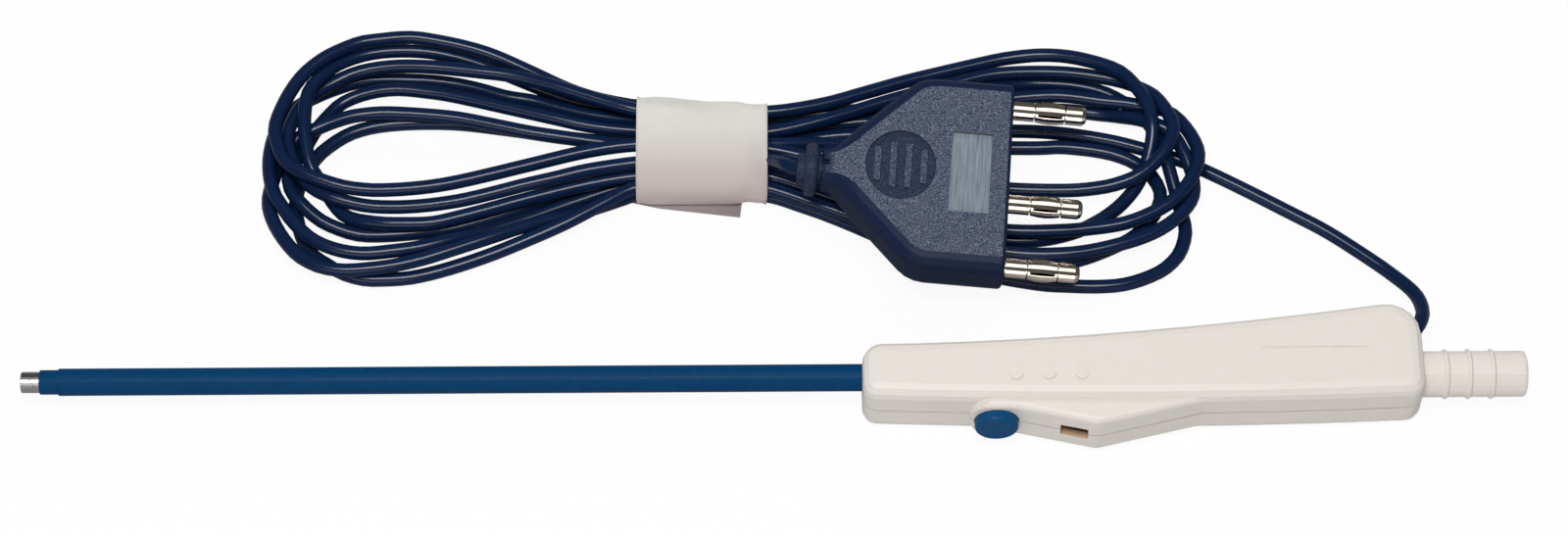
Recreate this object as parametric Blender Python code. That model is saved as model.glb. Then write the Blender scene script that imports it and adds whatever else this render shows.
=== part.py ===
# Suction coagulator: a suction tube in a handle with a button, its cord in a banded hank and its plug
# The frame has X along the suction tube, -Y towards the button side and +Z up from the surface it lies on.
import math

import bmesh
import bpy
from mathutils import Euler, Matrix, Vector

# Clearances, in metres as every size here
SEAT_GAP = 0.0003
SLEEVE_GAP = 0.00006
BUTTON_GAP = 0.00015
PARTING_GAP = 0.0003

# Handle shells
HANDLE_FRONT = 0.0180
HANDLE_LENGTH = 0.1142
HANDLE_THICKNESS = 0.0150
HANDLE_EDGE_RADIUS = 0.0026
SHELL_WALL = 0.0020
FRONT_FAR_REACH = 0.0047
REAR_FAR_REACH = 0.0145
FLARE_POWER = 1.8
FRONT_NEAR_REACH = 0.0076
MIDDLE_NEAR_REACH = 0.00875
REAR_NEAR_REACH = 0.0075
FRONT_FAR_CORNER = 0.0040
FRONT_NEAR_CORNER = 0.0030
REAR_FAR_CORNER = 0.0070
REAR_NEAR_CORNER = 0.0032
CAVITY_EDGE_RADIUS = 0.0008

# Ribs that cradle the tube and the vent body
RIB_THICKNESS = 0.0014
RIB_OVERLAP = 0.0006
RIB_SIDE = 0.0010
FRONT_RIB_FROM_FRONT = 0.0052
CLIP_RIB_FROM_FRONT = 0.0150
BODY_RIB_FROM_PEAK = 0.0180
REAR_RIB_FROM_BARB = 0.0020

# Bump on the near side, which holds the button and the thumb vent
BUMP_INSET = 0.0014
BUMP_WALL = 0.0015
BUMP_EDGE_RADIUS = 0.0012
NOSE_HALF_WIDTH = 0.0056
NOSE_CROWN = 0.0002
NOSE_REACH = 0.0101
NOSE_CORNER = 0.0014
NOSE_FLAT = 0.0040
NOSE_HOLLOW_RADIUS = 0.0100
BUMP_PEAK_FROM_BUTTON = 0.0204
BUMP_PEAK_REACH = 0.0139
BUMP_PEAK_RADIUS = 0.0030
BUMP_TAIL_FROM_PEAK = 0.0264
BUMP_TAIL_REACH = 0.0075
BUMP_ROOT_REACH = 0.0040

# Thumb vent in the bump's front flank
VENT_BEFORE_PEAK = 0.0047
VENT_WIDTH = 0.0055
VENT_HEIGHT = 0.0038
CHIMNEY_WALL = 0.0008

# Button and its switch
BUTTON_X = 0.0452
BUTTON_DIAMETER = 0.0089
BUTTON_FRONT_REACH = 0.0123
BUTTON_EDGE_RADIUS = 0.0008
BUTTON_DISH = 0.0002
FLANGE_DIAMETER = 0.0098
FLANGE_THICKNESS = 0.0008
COLLAR_THICKNESS = 0.0017
STEM_DIAMETER = 0.0032
DOME_DIAMETER = 0.0070
DOME_HEIGHT = 0.0009
DOME_SHEET = 0.00020
BOARD_FACE_REACH = 0.0045
BOARD_THICKNESS = 0.0008
BOARD_BEFORE_BUTTON = 0.0082
BOARD_LENGTH = 0.0150

# Suction tube and its sleeves
TIP_X = -0.1537
TUBE_DIAMETER = 0.00435
TUBE_BORE = 0.0032
TUBE_IN_SOCKET = 0.0055
INNER_SLEEVE_DIAMETER = 0.00505
INNER_SLEEVE_SETBACK = 0.0038
OUTER_SLEEVE_DIAMETER = 0.0056
OUTER_SLEEVE_SETBACK = 0.0076
OUTER_SLEEVE_IN_HANDLE = 0.0080
INNER_SLEEVE_IN_HANDLE = 0.0120
CLIP_FROM_FRONT = 0.0210
CLIP_LENGTH = 0.0030
CLIP_SHEET = 0.0004
CLIP_TAIL_WIDTH = 0.0016

# Vent body and hose barb
VENT_BODY_FROM_FRONT = 0.0330
VENT_BODY_DIAMETER = 0.0070
VENT_BODY_BORE = 0.0044
BARB_LENGTH = 0.0213
BARB_DIAMETER = 0.0094
BARB_BORE = 0.0063
BARB_RING_PITCH = 0.0047
BARB_RING_FIRST = 0.0048
BARB_RING_HEIGHT = 0.0004
BARB_RING_WIDTH = 0.0012
BARB_RINGS = 3
BARB_EDGE_RADIUS = 0.0007
BARB_FLANGE_DIAMETER = 0.0102
BARB_FLANGE_THICKNESS = 0.0030
BARB_SPIGOT_LENGTH = 0.0060
BARB_BORE_DEPTH = 0.0200

# Cord, in a bend out of the handle's rear corner
CORD_DIAMETER = 0.0030
CORD_EXIT_BACK = 0.0022
CORD_EXIT_REACH = 0.0090
CORD_EXIT_TURN = 28.0
CORD_CLAMP_BACK = 0.0138
CORD_CLAMP_REACH = 0.0074
CORD_CLAMP_LENGTH = 0.0050
CORD_CLAMP_DIAMETER = 0.0052
CORD_SPACING = 0.0045
CORD_FLOOR_GAP = 0.0001
CORD_BEFORE_MOUTH = 0.0030
CORD_PAST_MOUTH = 0.0012

# Wires from the board to the cord's end
WIRE_DIAMETER = 0.0009
WIRE_SPACING = 0.0034
WIRE_LEAVE = 0.0018
WIRE_SETTLE = 0.0045
WIRE_PAST_PEAK = 0.0160
WIRE_CROSS_BACK = 0.0270
WIRE_CROSS_EASE = 0.0040
WIRE_CROSS_AFTER = 0.0012
WIRE_CROSS_REACH = 0.0015
WIRE_DROP_AFTER = 0.0030
WIRE_DROP = 0.0010
WIRE_LAND_AFTER = 0.0060
WIRE_LAND_SIDE = 0.0004
WIRE_LAND_RISE = 0.0022

# Marks on the handle's top
DOT_DIAMETER = 0.0029
DOT_HEIGHT = 0.0003
DOT_PITCH = 0.00665
DOT_FIRST_FROM_BUTTON = 0.0039
DOT_REACH = 0.0032
DOT_COUNT = 3
PANEL_LENGTH = 0.0214
PANEL_WIDTH = 0.0051
PANEL_DEPTH = 0.0002
PANEL_BACK = 0.0222

# Pegs that locate the two shells
PEG_DIAMETER = 0.0013
PEG_LENGTH = 0.0020
BOSS_DIAMETER = 0.0031
PEG_BESIDE_TUBE = 0.0028
FRONT_PEG_FROM_FRONT = 0.0100
TAIL_PEG_FROM_PEAK = 0.0060
TAIL_PEG_REACH = 0.0088
REAR_PEG_BACK = 0.0290

# Hank of cord and the paper band round it
HANK_BASE = 0.0006
HANK_HEIGHT = 0.0054
HANK_EDGE_RADIUS = 0.0018
BAND_LEFT = -0.0292
BAND_WIDTH = 0.0276
BAND_NEAR = 0.0454
BAND_FAR = 0.0691
PAPER_THICKNESS = 0.0003
BAND_CORNER = 0.0030
BUNDLE_RISE = 0.0022
BUNDLE_MARGIN = 0.0017
BUNDLE_PAST_BAND = 0.0010
BUNDLE_EDGE_RADIUS = 0.0014
FLAP_REACH = 0.0026
FLAP_LEFT_REACH = 0.0008
FLAP_RIGHT_BACK = 0.0054
FLAP_SLANT = 0.0006

# Plug and its pins
PLUG_X = 0.0489
PLUG_Y = 0.0420
PLUG_Z = 0.0130
PLUG_YAW = -4.2
PLUG_PITCH = 3.2
PLUG_TILT = 3.0
PLUG_THICKNESS = 0.0114
PLUG_EDGE_RADIUS = 0.0031
PLUG_HALF_WIDTH = 0.0223
PLUG_LENGTH = 0.0390
PLUG_SHOULDER_LENGTH = 0.0196
PLUG_SHOULDER_RADIUS = 0.0080
PLUG_FACE_CORNER = 0.0009
NECK_HALF_WIDTH = 0.0037
NECK_HALF_HEIGHT = 0.0041
NECK_HOLLOW_LENGTH = 0.0374
NECK_HOLLOW_RADIUS = 0.0034
NECK_TAPER_LENGTH = 0.0078
NECK_TAPER_CUTS = 5
NECK_RADIUS = 0.0029
NECK_RING_DIAMETER = 0.0112
NECK_RING_LENGTH = 0.0027
NECK_RING_ROUNDING = 0.0010
NECK_RING_STEPS = 4
NECK_RING_SPACE = 0.0008
NECK_END_DIAMETER = 0.0068
NECK_END_LENGTH = 0.0015
GRIP_LENGTH = 0.0148
GRIP_WIDTH = 0.0162
GRIP_DEPTH = 0.0006
GRIP_FROM_FACE = 0.0228
GRIP_BAR_WIDTH = 0.0013
GRIP_BAR_PITCH = 0.0032
GRIP_BAR_LENGTHS = (0.0078, 0.0102, 0.0102, 0.0078)
PATCH_LENGTH = 0.0084
PATCH_WIDTH = 0.0186
PATCH_DEPTH = 0.0006
PATCH_FROM_FACE = 0.0083
PATCH_SIDE = -0.0004
CARRIER_DEPTH = 0.0090
CARRIER_LENGTH = 0.0424
CARRIER_THICKNESS = 0.0066
PIN_SIDES = (0.0182, -0.0040, -0.0189)
PIN_DIAMETER = 0.0041
PIN_CORE_DIAMETER = 0.0028
PIN_LENGTH = 0.0157
PIN_COLLAR_LENGTH = 0.0046
PIN_TIP_LENGTH = 0.0044
PIN_ROOT_LENGTH = 0.0070
CAGE_BULGE_DIAMETER = 0.0048
CAGE_SHEET = 0.0003
CAGE_SLOTS = 4
CAGE_SLOT_WIDTH = 0.0008
CAGE_END_RING = 0.0005

# Cord's end between the hank's top and the plug's neck
TAIL_SPACING = 0.0013
TAIL_SIDE = 0.0034
TAIL_LEAVE = 0.0003
TAIL_BEFORE_NECK = 0.0020

# Values that follow from the sizes above
AXIS_Z = HANDLE_THICKNESS / 2
HANDLE_REAR = HANDLE_FRONT + HANDLE_LENGTH
BARB_END = HANDLE_REAR + BARB_LENGTH
TUBE_RADIUS = TUBE_DIAMETER / 2
VENT_BODY_FRONT = HANDLE_FRONT + VENT_BODY_FROM_FRONT
BARB_FLANGE_REAR = HANDLE_REAR - SHELL_WALL - SEAT_GAP
BARB_FLANGE_FRONT = BARB_FLANGE_REAR - BARB_FLANGE_THICKNESS
BARB_FRONT = BARB_FLANGE_FRONT - BARB_SPIGOT_LENGTH
VENT_BODY_REAR = BARB_FRONT - SEAT_GAP
BUMP_PEAK_X = BUTTON_X + BUMP_PEAK_FROM_BUTTON
VENT_X = BUMP_PEAK_X - VENT_BEFORE_PEAK
FLANGE_FRONT_REACH = NOSE_REACH - COLLAR_THICKNESS - SEAT_GAP
FLANGE_BACK_REACH = FLANGE_FRONT_REACH - FLANGE_THICKNESS
DOME_RIM_REACH = BOARD_FACE_REACH + SEAT_GAP
DOME_TOP_REACH = DOME_RIM_REACH + DOME_HEIGHT
BOARD_BACK_REACH = BOARD_FACE_REACH - BOARD_THICKNESS
BOARD_START = BUTTON_X - BOARD_BEFORE_BUTTON
BOARD_END = BOARD_START + BOARD_LENGTH
HANK_TOP = HANK_BASE + HANK_HEIGHT
BUNDLE_TOP = HANK_TOP + BUNDLE_RISE
BUNDLE_END = BAND_LEFT + BAND_WIDTH + BUNDLE_PAST_BAND
ROUND_SIDES = 24
ARC_STEP = math.radians(18)
EDGE_STEPS = 3


def clear_scene():
    """Take away whatever the file held before."""
    for old in list(bpy.data.objects):
        bpy.data.objects.remove(old, do_unlink=True)


def make_material(name, colour, roughness, metallic=0.0):
    """One plain finish for a piece."""
    material = bpy.data.materials.new(name)
    material.use_nodes = True
    shader = material.node_tree.nodes["Principled BSDF"]
    shader.inputs["Base Color"].default_value = (*colour, 1.0)
    shader.inputs["Roughness"].default_value = roughness
    shader.inputs["Metallic"].default_value = metallic
    material.diffuse_color = (*colour, 1.0)
    return material


def add_object(name, data, material=None, parent=None):
    """Link an object to the scene under its parent."""
    made = bpy.data.objects.new(name, data)
    bpy.context.scene.collection.objects.link(made)
    if material is not None:
        made.data.materials.append(material)
    made.parent = parent
    return made


def add_empty(name, parent=None, place=(0.0, 0.0, 0.0), turn=(0.0, 0.0, 0.0)):
    """An empty that carries pieces."""
    made = add_object(name, None, None, parent)
    made.location = place
    made.rotation_euler = turn
    return made


def mesh_from(bm, name):
    """Close a bmesh into mesh data with its faces pointing out."""
    bmesh.ops.recalc_face_normals(bm, faces=bm.faces)
    data = bpy.data.meshes.new(name)
    bm.to_mesh(data)
    bm.free()
    return data


def add_piece(name, bm, material, parent):
    """A visible piece, shaded smooth but for its sharp edges."""
    made = add_object(name, mesh_from(bm, name), material, parent)
    made.data.shade_smooth()
    made.data.set_sharp_from_angle(angle=math.radians(35))
    return made


def add_tool(name, bm, parent):
    """A shape that only cuts or joins, and is no piece itself."""
    made = add_object(name, mesh_from(bm, name), None, parent)
    made.hide_render = True
    made.display_type = "WIRE"
    return made


def combine(target, tool, operation):
    """Cut, join or trim a piece with a tool."""
    modifier = target.modifiers.new(tool.name, "BOOLEAN")
    modifier.object = tool
    modifier.operation = operation
    modifier.solver = "EXACT"


def arc_points(corner, before, after, radius):
    """The points of the round that replaces one corner of an outline."""
    to_before = (before - corner).normalized()
    to_after = (after - corner).normalized()
    half_angle = to_before.angle(to_after) / 2
    reach = radius / math.tan(half_angle)
    centre = corner + (to_before + to_after).normalized() * (radius / math.sin(half_angle))
    first = corner + to_before * reach - centre
    last = corner + to_after * reach - centre
    sweep = first.angle_signed(last)
    steps = max(2, round(abs(sweep) / ARC_STEP))
    return [centre + Matrix.Rotation(-sweep * step / steps, 2) @ first for step in range(steps + 1)]


def rounded_outline(corners):
    """A closed outline from corners given as x, y and corner radius."""
    places = [Vector((x, y)) for x, y, radius in corners]
    outline = []
    for index, (x, y, radius) in enumerate(corners):
        after = places[(index + 1) % len(places)]
        if radius > 0:
            outline.extend(arc_points(places[index], places[index - 1], after, radius))
        else:
            outline.append(places[index])
    return outline


def inset_outline(outline, distance):
    """Move each side of an anticlockwise outline inwards."""
    moved = []
    for index, point in enumerate(outline):
        before = (point - outline[index - 1]).normalized()
        after = (outline[(index + 1) % len(outline)] - point).normalized()
        inward = Vector((-before.y, before.x)) + Vector((-after.y, after.x))
        inward.normalize()
        moved.append(point + inward * (distance / inward.dot(Vector((-after.y, after.x)))))
    return moved


def loft(bm, rings):
    """Skin a stack of equal rings of 3-D points and close both ends."""
    rows = [[bm.verts.new(point) for point in ring] for ring in rings]
    for low, high in zip(rows, rows[1:]):
        for index in range(len(low)):
            after = (index + 1) % len(low)
            bm.faces.new((low[index], low[after], high[after], high[index]))
    bm.faces.new(list(reversed(rows[0])))
    bm.faces.new(rows[-1])


def slab(bm, outline, levels):
    """A plate whose outline is inset by a given amount at each height."""
    rings = []
    for height, inset in levels:
        rings.append([Vector((p.x, p.y, height)) for p in inset_outline(outline, inset)])
    loft(bm, rings)


def rounded_levels(base, top, base_radius, top_radius):
    """Heights and insets of a plate with rounded base and top edges."""
    levels = []
    if base_radius > 0:
        for step in range(EDGE_STEPS, 0, -1):
            angle = math.pi / 2 * step / EDGE_STEPS
            levels.append((base + base_radius * (1 - math.sin(angle)), base_radius * (1 - math.cos(angle))))
    levels.append((base + base_radius, 0.0))
    levels.append((top - top_radius, 0.0))
    if top_radius > 0:
        for step in range(1, EDGE_STEPS + 1):
            angle = math.pi / 2 * step / EDGE_STEPS
            levels.append((top - top_radius * (1 - math.sin(angle)), top_radius * (1 - math.cos(angle))))
    return levels


def flip_levels(levels, side):
    """The same levels, turned over about the tube's height for the lower side."""
    return [(AXIS_Z + side * (height - AXIS_Z), inset) for height, inset in levels]


def add_box(bm, low, high):
    """A box between two corners."""
    centre = (Vector(low) + Vector(high)) / 2
    size = Vector(high) - Vector(low)
    matrix = Matrix.Translation(centre) @ Matrix.Diagonal((*size, 1.0))
    bmesh.ops.create_cube(bm, size=1.0, matrix=matrix)


AXES = {
    "X": Matrix.Rotation(math.pi / 2, 4, "Y"),
    "Y": Matrix.Rotation(math.pi / 2, 4, "X"),
    "Z": Matrix.Identity(4),
}


def add_rod(bm, centre, length, radius, axis, sides=ROUND_SIDES):
    """A solid rod about its centre."""
    bmesh.ops.create_cone(bm, cap_ends=True, segments=sides, radius1=radius, radius2=radius, depth=length,
                          matrix=Matrix.Translation(centre) @ AXES[axis])


def add_turned(bm, profile, sides=ROUND_SIDES):
    """Turn a closed profile of along-axis and radius pairs about the X axis."""
    start = [bm.verts.new((along, 0.0, radius)) for along, radius in profile]
    edges = []
    for index, (along, radius) in enumerate(profile):
        after = (index + 1) % len(profile)
        if radius > 0 or profile[after][1] > 0:
            edges.append(bm.edges.new((start[index], start[after])))
    bmesh.ops.spin(bm, geom=start + edges, cent=(0, 0, 0), axis=(1, 0, 0), angle=math.tau,
                   steps=sides, use_merge=True)
    bmesh.ops.remove_doubles(bm, verts=bm.verts, dist=1e-7)


def smooth_route(points, closed=False, per_span=8):
    """Points on a smooth curve through chosen points."""
    chosen = [Vector(point) for point in points]
    count = len(chosen)
    spans = count if closed else count - 1
    curve = []
    for span in range(spans):
        if closed:
            p0, p1, p2, p3 = (chosen[(span + shift) % count] for shift in (-1, 0, 1, 2))
        else:
            p1, p2 = chosen[span], chosen[span + 1]
            p0 = chosen[span - 1] if span > 0 else p1 * 2 - p2
            p3 = chosen[span + 2] if span + 2 < count else p2 * 2 - p1
        for step in range(per_span):
            t = step / per_span
            curve.append((p1 * 2 + (p2 - p0) * t + (p0 * 2 - p1 * 5 + p2 * 4 - p3) * t ** 2
                          + (p1 * 3 - p0 - p2 * 3 + p3) * t ** 3) / 2)
    if not closed:
        curve.append(chosen[-1])
    return curve


def even_points(curve, spacing):
    """Points a steady distance apart along a curve."""
    lengths = [0.0]
    for before, after in zip(curve, curve[1:]):
        lengths.append(lengths[-1] + (after - before).length)
    count = max(2, round(lengths[-1] / spacing))
    points = []
    index = 0
    for step in range(count + 1):
        wanted = lengths[-1] * step / count
        while index < len(curve) - 2 and lengths[index + 1] < wanted:
            index += 1
        part = (wanted - lengths[index]) / (lengths[index + 1] - lengths[index])
        points.append(curve[index].lerp(curve[index + 1], part))
    return points


def add_cord(name, route, diameter, material, parent, spacing):
    """A cord or wire as a round curve through its route."""
    points = even_points(smooth_route(route), spacing)
    data = bpy.data.curves.new(name, "CURVE")
    data.dimensions = "3D"
    data.bevel_depth = diameter / 2
    data.bevel_resolution = 2
    data.use_fill_caps = True
    spline = data.splines.new("POLY")
    spline.points.add(len(points) - 1)
    for place, point in zip(spline.points, points):
        place.co = (*point, 1.0)
    return add_object(name, data, material, parent)


def far_reach(share):
    """How far the handle reaches on the far side, at a share of its length."""
    return FRONT_FAR_REACH + (REAR_FAR_REACH - FRONT_FAR_REACH) * share ** FLARE_POWER


def near_reach(share):
    """How far the handle reaches on the near side, through its three named reaches."""
    return (FRONT_NEAR_REACH * (1 - share) * (1 - 2 * share) + MIDDLE_NEAR_REACH * 4 * share * (1 - share)
            + REAR_NEAR_REACH * share * (2 * share - 1))


def handle_outline():
    """The handle seen from above, anticlockwise from its front near corner."""
    shares = [step / 10 for step in range(1, 10)]
    corners = [(HANDLE_FRONT, -FRONT_NEAR_REACH, FRONT_NEAR_CORNER)]
    corners += [(HANDLE_FRONT + HANDLE_LENGTH * t, -near_reach(t), 0) for t in shares]
    corners.append((HANDLE_REAR, -REAR_NEAR_REACH, REAR_NEAR_CORNER))
    corners.append((HANDLE_REAR, REAR_FAR_REACH, REAR_FAR_CORNER))
    corners += [(HANDLE_FRONT + HANDLE_LENGTH * t, far_reach(t), 0) for t in reversed(shares)]
    corners.append((HANDLE_FRONT, FRONT_FAR_REACH, FRONT_FAR_CORNER))
    return rounded_outline(corners)


def bump_outline(margin=0.0):
    """The bump seen from above: button nose, vent flank, peak and long tail, or its inside at a margin."""
    left = BUTTON_X - NOSE_HALF_WIDTH
    tail = BUMP_PEAK_X + BUMP_TAIL_FROM_PEAK
    corners = [
        (left, -BUMP_ROOT_REACH),
        (left, -NOSE_REACH),
        (BUTTON_X + NOSE_FLAT, -NOSE_REACH),
        (BUMP_PEAK_X, -BUMP_PEAK_REACH),
        (tail, -BUMP_TAIL_REACH),
        (tail, -BUMP_ROOT_REACH),
    ]
    corner = max(NOSE_CORNER - margin, 0.0)
    radii = (0.0, corner, NOSE_HOLLOW_RADIUS + margin, BUMP_PEAK_RADIUS - margin, 0.0, 0.0)
    inner = inset_outline([Vector(corner) for corner in corners], margin)
    return rounded_outline([(point.x, point.y, radius) for point, radius in zip(inner, radii)])


def nose_barrel(name, margin, parent):
    """A long bar along Y whose left end is round, which trims the bump round the button."""
    half_height = HANDLE_THICKNESS / 2 - BUMP_INSET - margin + NOSE_CROWN
    half_width = NOSE_HALF_WIDTH - margin
    tail = BUMP_PEAK_X + BUMP_TAIL_FROM_PEAK + SHELL_WALL
    outline = [(tail, -half_height), (tail, half_height)]
    for step in range(13):
        angle = math.pi / 2 + math.pi * step / 12
        outline.append((BUTTON_X + half_width * math.cos(angle), half_height * math.sin(angle)))
    bm = bmesh.new()
    rings = []
    for reach in (BUMP_PEAK_REACH + SHELL_WALL, BUMP_ROOT_REACH - SHELL_WALL):
        rings.append([Vector((x, -reach, AXIS_Z + z)) for x, z in outline])
    loft(bm, rings)
    return add_tool(name, bm, parent)


def cord_exit_direction():
    """The way the cord leaves the handle's rear corner."""
    turn = math.radians(CORD_EXIT_TURN)
    return Vector((math.cos(turn), math.sin(turn), 0.0))


def peg_places():
    """Where the pegs stand: beside the tube, in the bump's tail and beside the vent body's rear."""
    return (
        (HANDLE_FRONT + FRONT_PEG_FROM_FRONT, -(TUBE_RADIUS + PEG_BESIDE_TUBE)),
        (BUMP_PEAK_X + TAIL_PEG_FROM_PEAK, -TAIL_PEG_REACH),
        (HANDLE_REAR - REAR_PEG_BACK, VENT_BODY_DIAMETER / 2 + PEG_BESIDE_TUBE),
    )


def add_shell_tools(side, label, parent):
    """The shapes that hollow, stiffen and open one shell, with what each does."""
    rim = AXIS_Z + PARTING_GAP / 2
    top = HANDLE_THICKNESS
    past = AXIS_Z - SHELL_WALL
    bump_top = top - BUMP_INSET
    tools = []

    bm = bmesh.new()
    slab(bm, bump_outline(), flip_levels(rounded_levels(rim, bump_top, 0, BUMP_EDGE_RADIUS), side))
    bump = add_tool(label + "_bump", bm, parent)
    combine(bump, nose_barrel(label + "_nose", 0.0, parent), "INTERSECT")
    tools.append((bump, "UNION"))

    bm = bmesh.new()
    inner = inset_outline(handle_outline(), SHELL_WALL)
    slab(bm, inner, flip_levels(rounded_levels(past, top - SHELL_WALL, 0, CAVITY_EDGE_RADIUS), side))
    tools.append((add_tool(label + "_cavity", bm, parent), "DIFFERENCE"))

    bm = bmesh.new()
    slab(bm, bump_outline(BUMP_WALL), flip_levels([(past, 0.0), (bump_top - BUMP_WALL, 0.0)], side))
    hollow = add_tool(label + "_bump_cavity", bm, parent)
    combine(hollow, nose_barrel(label + "_nose_cavity", BUMP_WALL, parent), "INTERSECT")
    tools.append((hollow, "DIFFERENCE"))

    tools.append((add_stiffeners(side, label, parent), "UNION"))

    bm = bmesh.new()
    clear = OUTER_SLEEVE_DIAMETER / 2 + SEAT_GAP
    middle = (HANDLE_FRONT - SHELL_WALL + VENT_BODY_FRONT) / 2
    add_rod(bm, (middle, 0, AXIS_Z), VENT_BODY_FRONT - HANDLE_FRONT + SHELL_WALL, clear, "X")
    tools.append((add_tool(label + "_tube_hole", bm, parent), "DIFFERENCE"))

    bm = bmesh.new()
    clear = VENT_BODY_DIAMETER / 2 + SEAT_GAP
    middle = (VENT_BODY_FRONT + BARB_FLANGE_FRONT) / 2
    add_rod(bm, (middle, 0, AXIS_Z), BARB_FLANGE_FRONT - VENT_BODY_FRONT + 2 * SEAT_GAP, clear, "X")
    tools.append((add_tool(label + "_vent_body_space", bm, parent), "DIFFERENCE"))

    bm = bmesh.new()
    clear = BARB_DIAMETER / 2 + SEAT_GAP
    add_rod(bm, (HANDLE_REAR, 0, AXIS_Z), 4 * SHELL_WALL, clear, "X")
    tools.append((add_tool(label + "_barb_hole", bm, parent), "DIFFERENCE"))

    bm = bmesh.new()
    add_rod(bm, (BUTTON_X, -NOSE_REACH, AXIS_Z), 4 * COLLAR_THICKNESS, BUTTON_DIAMETER / 2 + BUTTON_GAP, "Y")
    tools.append((add_tool(label + "_button_hole", bm, parent), "DIFFERENCE"))

    bm = bmesh.new()
    depth = NOSE_REACH - COLLAR_THICKNESS - BOARD_FACE_REACH
    centre = (BUTTON_X, -(NOSE_REACH - COLLAR_THICKNESS + BOARD_FACE_REACH) / 2, AXIS_Z)
    add_rod(bm, centre, depth, FLANGE_DIAMETER / 2 + SEAT_GAP, "Y")
    tools.append((add_tool(label + "_flange_space", bm, parent), "DIFFERENCE"))

    bm = bmesh.new()
    half = Vector((VENT_WIDTH / 2, 0, VENT_HEIGHT / 2))
    add_box(bm, Vector((VENT_X, -BUMP_PEAK_REACH - SHELL_WALL, AXIS_Z)) - half,
            Vector((VENT_X, -NOSE_REACH + BUMP_WALL, AXIS_Z)) + half)
    tools.append((add_tool(label + "_vent_hole", bm, parent), "DIFFERENCE"))

    bm = bmesh.new()
    mouth = Vector((HANDLE_REAR - CORD_EXIT_BACK, CORD_EXIT_REACH, AXIS_Z))
    turned = Matrix.Translation(mouth) @ Matrix.Rotation(math.radians(CORD_EXIT_TURN), 4, "Z") @ AXES["X"]
    bmesh.ops.create_cone(bm, cap_ends=True, segments=24, radius1=CORD_DIAMETER / 2 + SEAT_GAP,
                          radius2=CORD_DIAMETER / 2 + SEAT_GAP, depth=5 * SHELL_WALL, matrix=turned)
    tools.append((add_tool(label + "_cord_hole", bm, parent), "DIFFERENCE"))
    return tools


def add_stiffeners(side, label, parent):
    """Ribs that cradle the tube and bosses for the pegs, joined to one shell."""
    rim = AXIS_Z + PARTING_GAP
    roof = HANDLE_THICKNESS - SHELL_WALL + RIB_OVERLAP
    bm = bmesh.new()
    tube_half = OUTER_SLEEVE_DIAMETER / 2
    body_half = VENT_BODY_DIAMETER / 2
    near_half = body_half + RIB_SIDE if side < 0 else 0.0
    places = [
        (HANDLE_FRONT + FRONT_RIB_FROM_FRONT, tube_half, tube_half - RIB_SIDE),
        (HANDLE_FRONT + CLIP_RIB_FROM_FRONT, tube_half, tube_half),
        (BUMP_PEAK_X + BODY_RIB_FROM_PEAK, near_half, body_half + RIB_SIDE),
        (BARB_FRONT + REAR_RIB_FROM_BARB, near_half, body_half + RIB_SIDE),
    ]
    for x, near, far in places:
        low = Vector((x - RIB_THICKNESS / 2, -near, rim))
        high = Vector((x + RIB_THICKNESS / 2, far, roof))
        if side < 0:
            low.z, high.z = 2 * AXIS_Z - high.z, 2 * AXIS_Z - low.z
        add_box(bm, low, high)
    for x, y in peg_places():
        centre = Vector((x, y, AXIS_Z + side * (rim + roof - 2 * AXIS_Z) / 2))
        add_rod(bm, centre, roof - rim, BOSS_DIAMETER / 2, "Z", 16)
    return add_tool(label + "_stiffeners", bm, parent)


def add_shell(side, name, material, parent):
    """One half of the handle, cut at the tube's height."""
    rim = AXIS_Z + PARTING_GAP / 2
    bm = bmesh.new()
    levels = rounded_levels(rim, HANDLE_THICKNESS, 0, HANDLE_EDGE_RADIUS)
    slab(bm, handle_outline(), flip_levels(levels, side))
    shell = add_piece(name, bm, material, parent)
    for tool, operation in add_shell_tools(side, name, parent):
        combine(shell, tool, operation)
    return shell


def add_top_marks(shell, parent):
    """Raised grip dots and a shallow bare panel on the upper shell."""
    bm = bmesh.new()
    for index in range(DOT_COUNT):
        x = BUTTON_X + DOT_FIRST_FROM_BUTTON + DOT_PITCH * index
        add_rod(bm, (x, -DOT_REACH, HANDLE_THICKNESS), 2 * DOT_HEIGHT, DOT_DIAMETER / 2, "Z", 20)
    combine(shell, add_tool("grip_dots", bm, parent), "UNION")
    bm = bmesh.new()
    centre = Vector((HANDLE_REAR - PANEL_BACK, 0, HANDLE_THICKNESS))
    half = Vector((PANEL_LENGTH / 2, PANEL_WIDTH / 2, PANEL_DEPTH))
    add_box(bm, centre - half, centre + half)
    combine(shell, add_tool("bare_panel", bm, parent), "DIFFERENCE")


def add_pegs(upper, lower, parent):
    """Pegs under the upper shell and their holes in the lower shell's bosses."""
    pegs = bmesh.new()
    holes = bmesh.new()
    for x, y in peg_places():
        top = AXIS_Z + PARTING_GAP + RIB_OVERLAP
        end = AXIS_Z - PEG_LENGTH
        add_rod(pegs, (x, y, (top + end) / 2), top - end, PEG_DIAMETER / 2, "Z", 16)
        end -= SEAT_GAP
        add_rod(holes, (x, y, (top + end) / 2), top - end, PEG_DIAMETER / 2 + SEAT_GAP, "Z", 16)
    combine(upper, add_tool("pegs", pegs, parent), "UNION")
    combine(lower, add_tool("peg_holes", holes, parent), "DIFFERENCE")


def add_sleeve(name, start, end, outer, inner, material, parent):
    """A plain tube along the handle's axis."""
    bm = bmesh.new()
    edge = (outer - inner) / 8
    add_turned(bm, [(start, inner / 2), (end, inner / 2), (end, outer / 2),
                    (start + edge, outer / 2), (start, outer / 2 - edge)])
    bmesh.ops.translate(bm, verts=bm.verts, vec=(0, 0, AXIS_Z))
    return add_piece(name, bm, material, parent)


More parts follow.
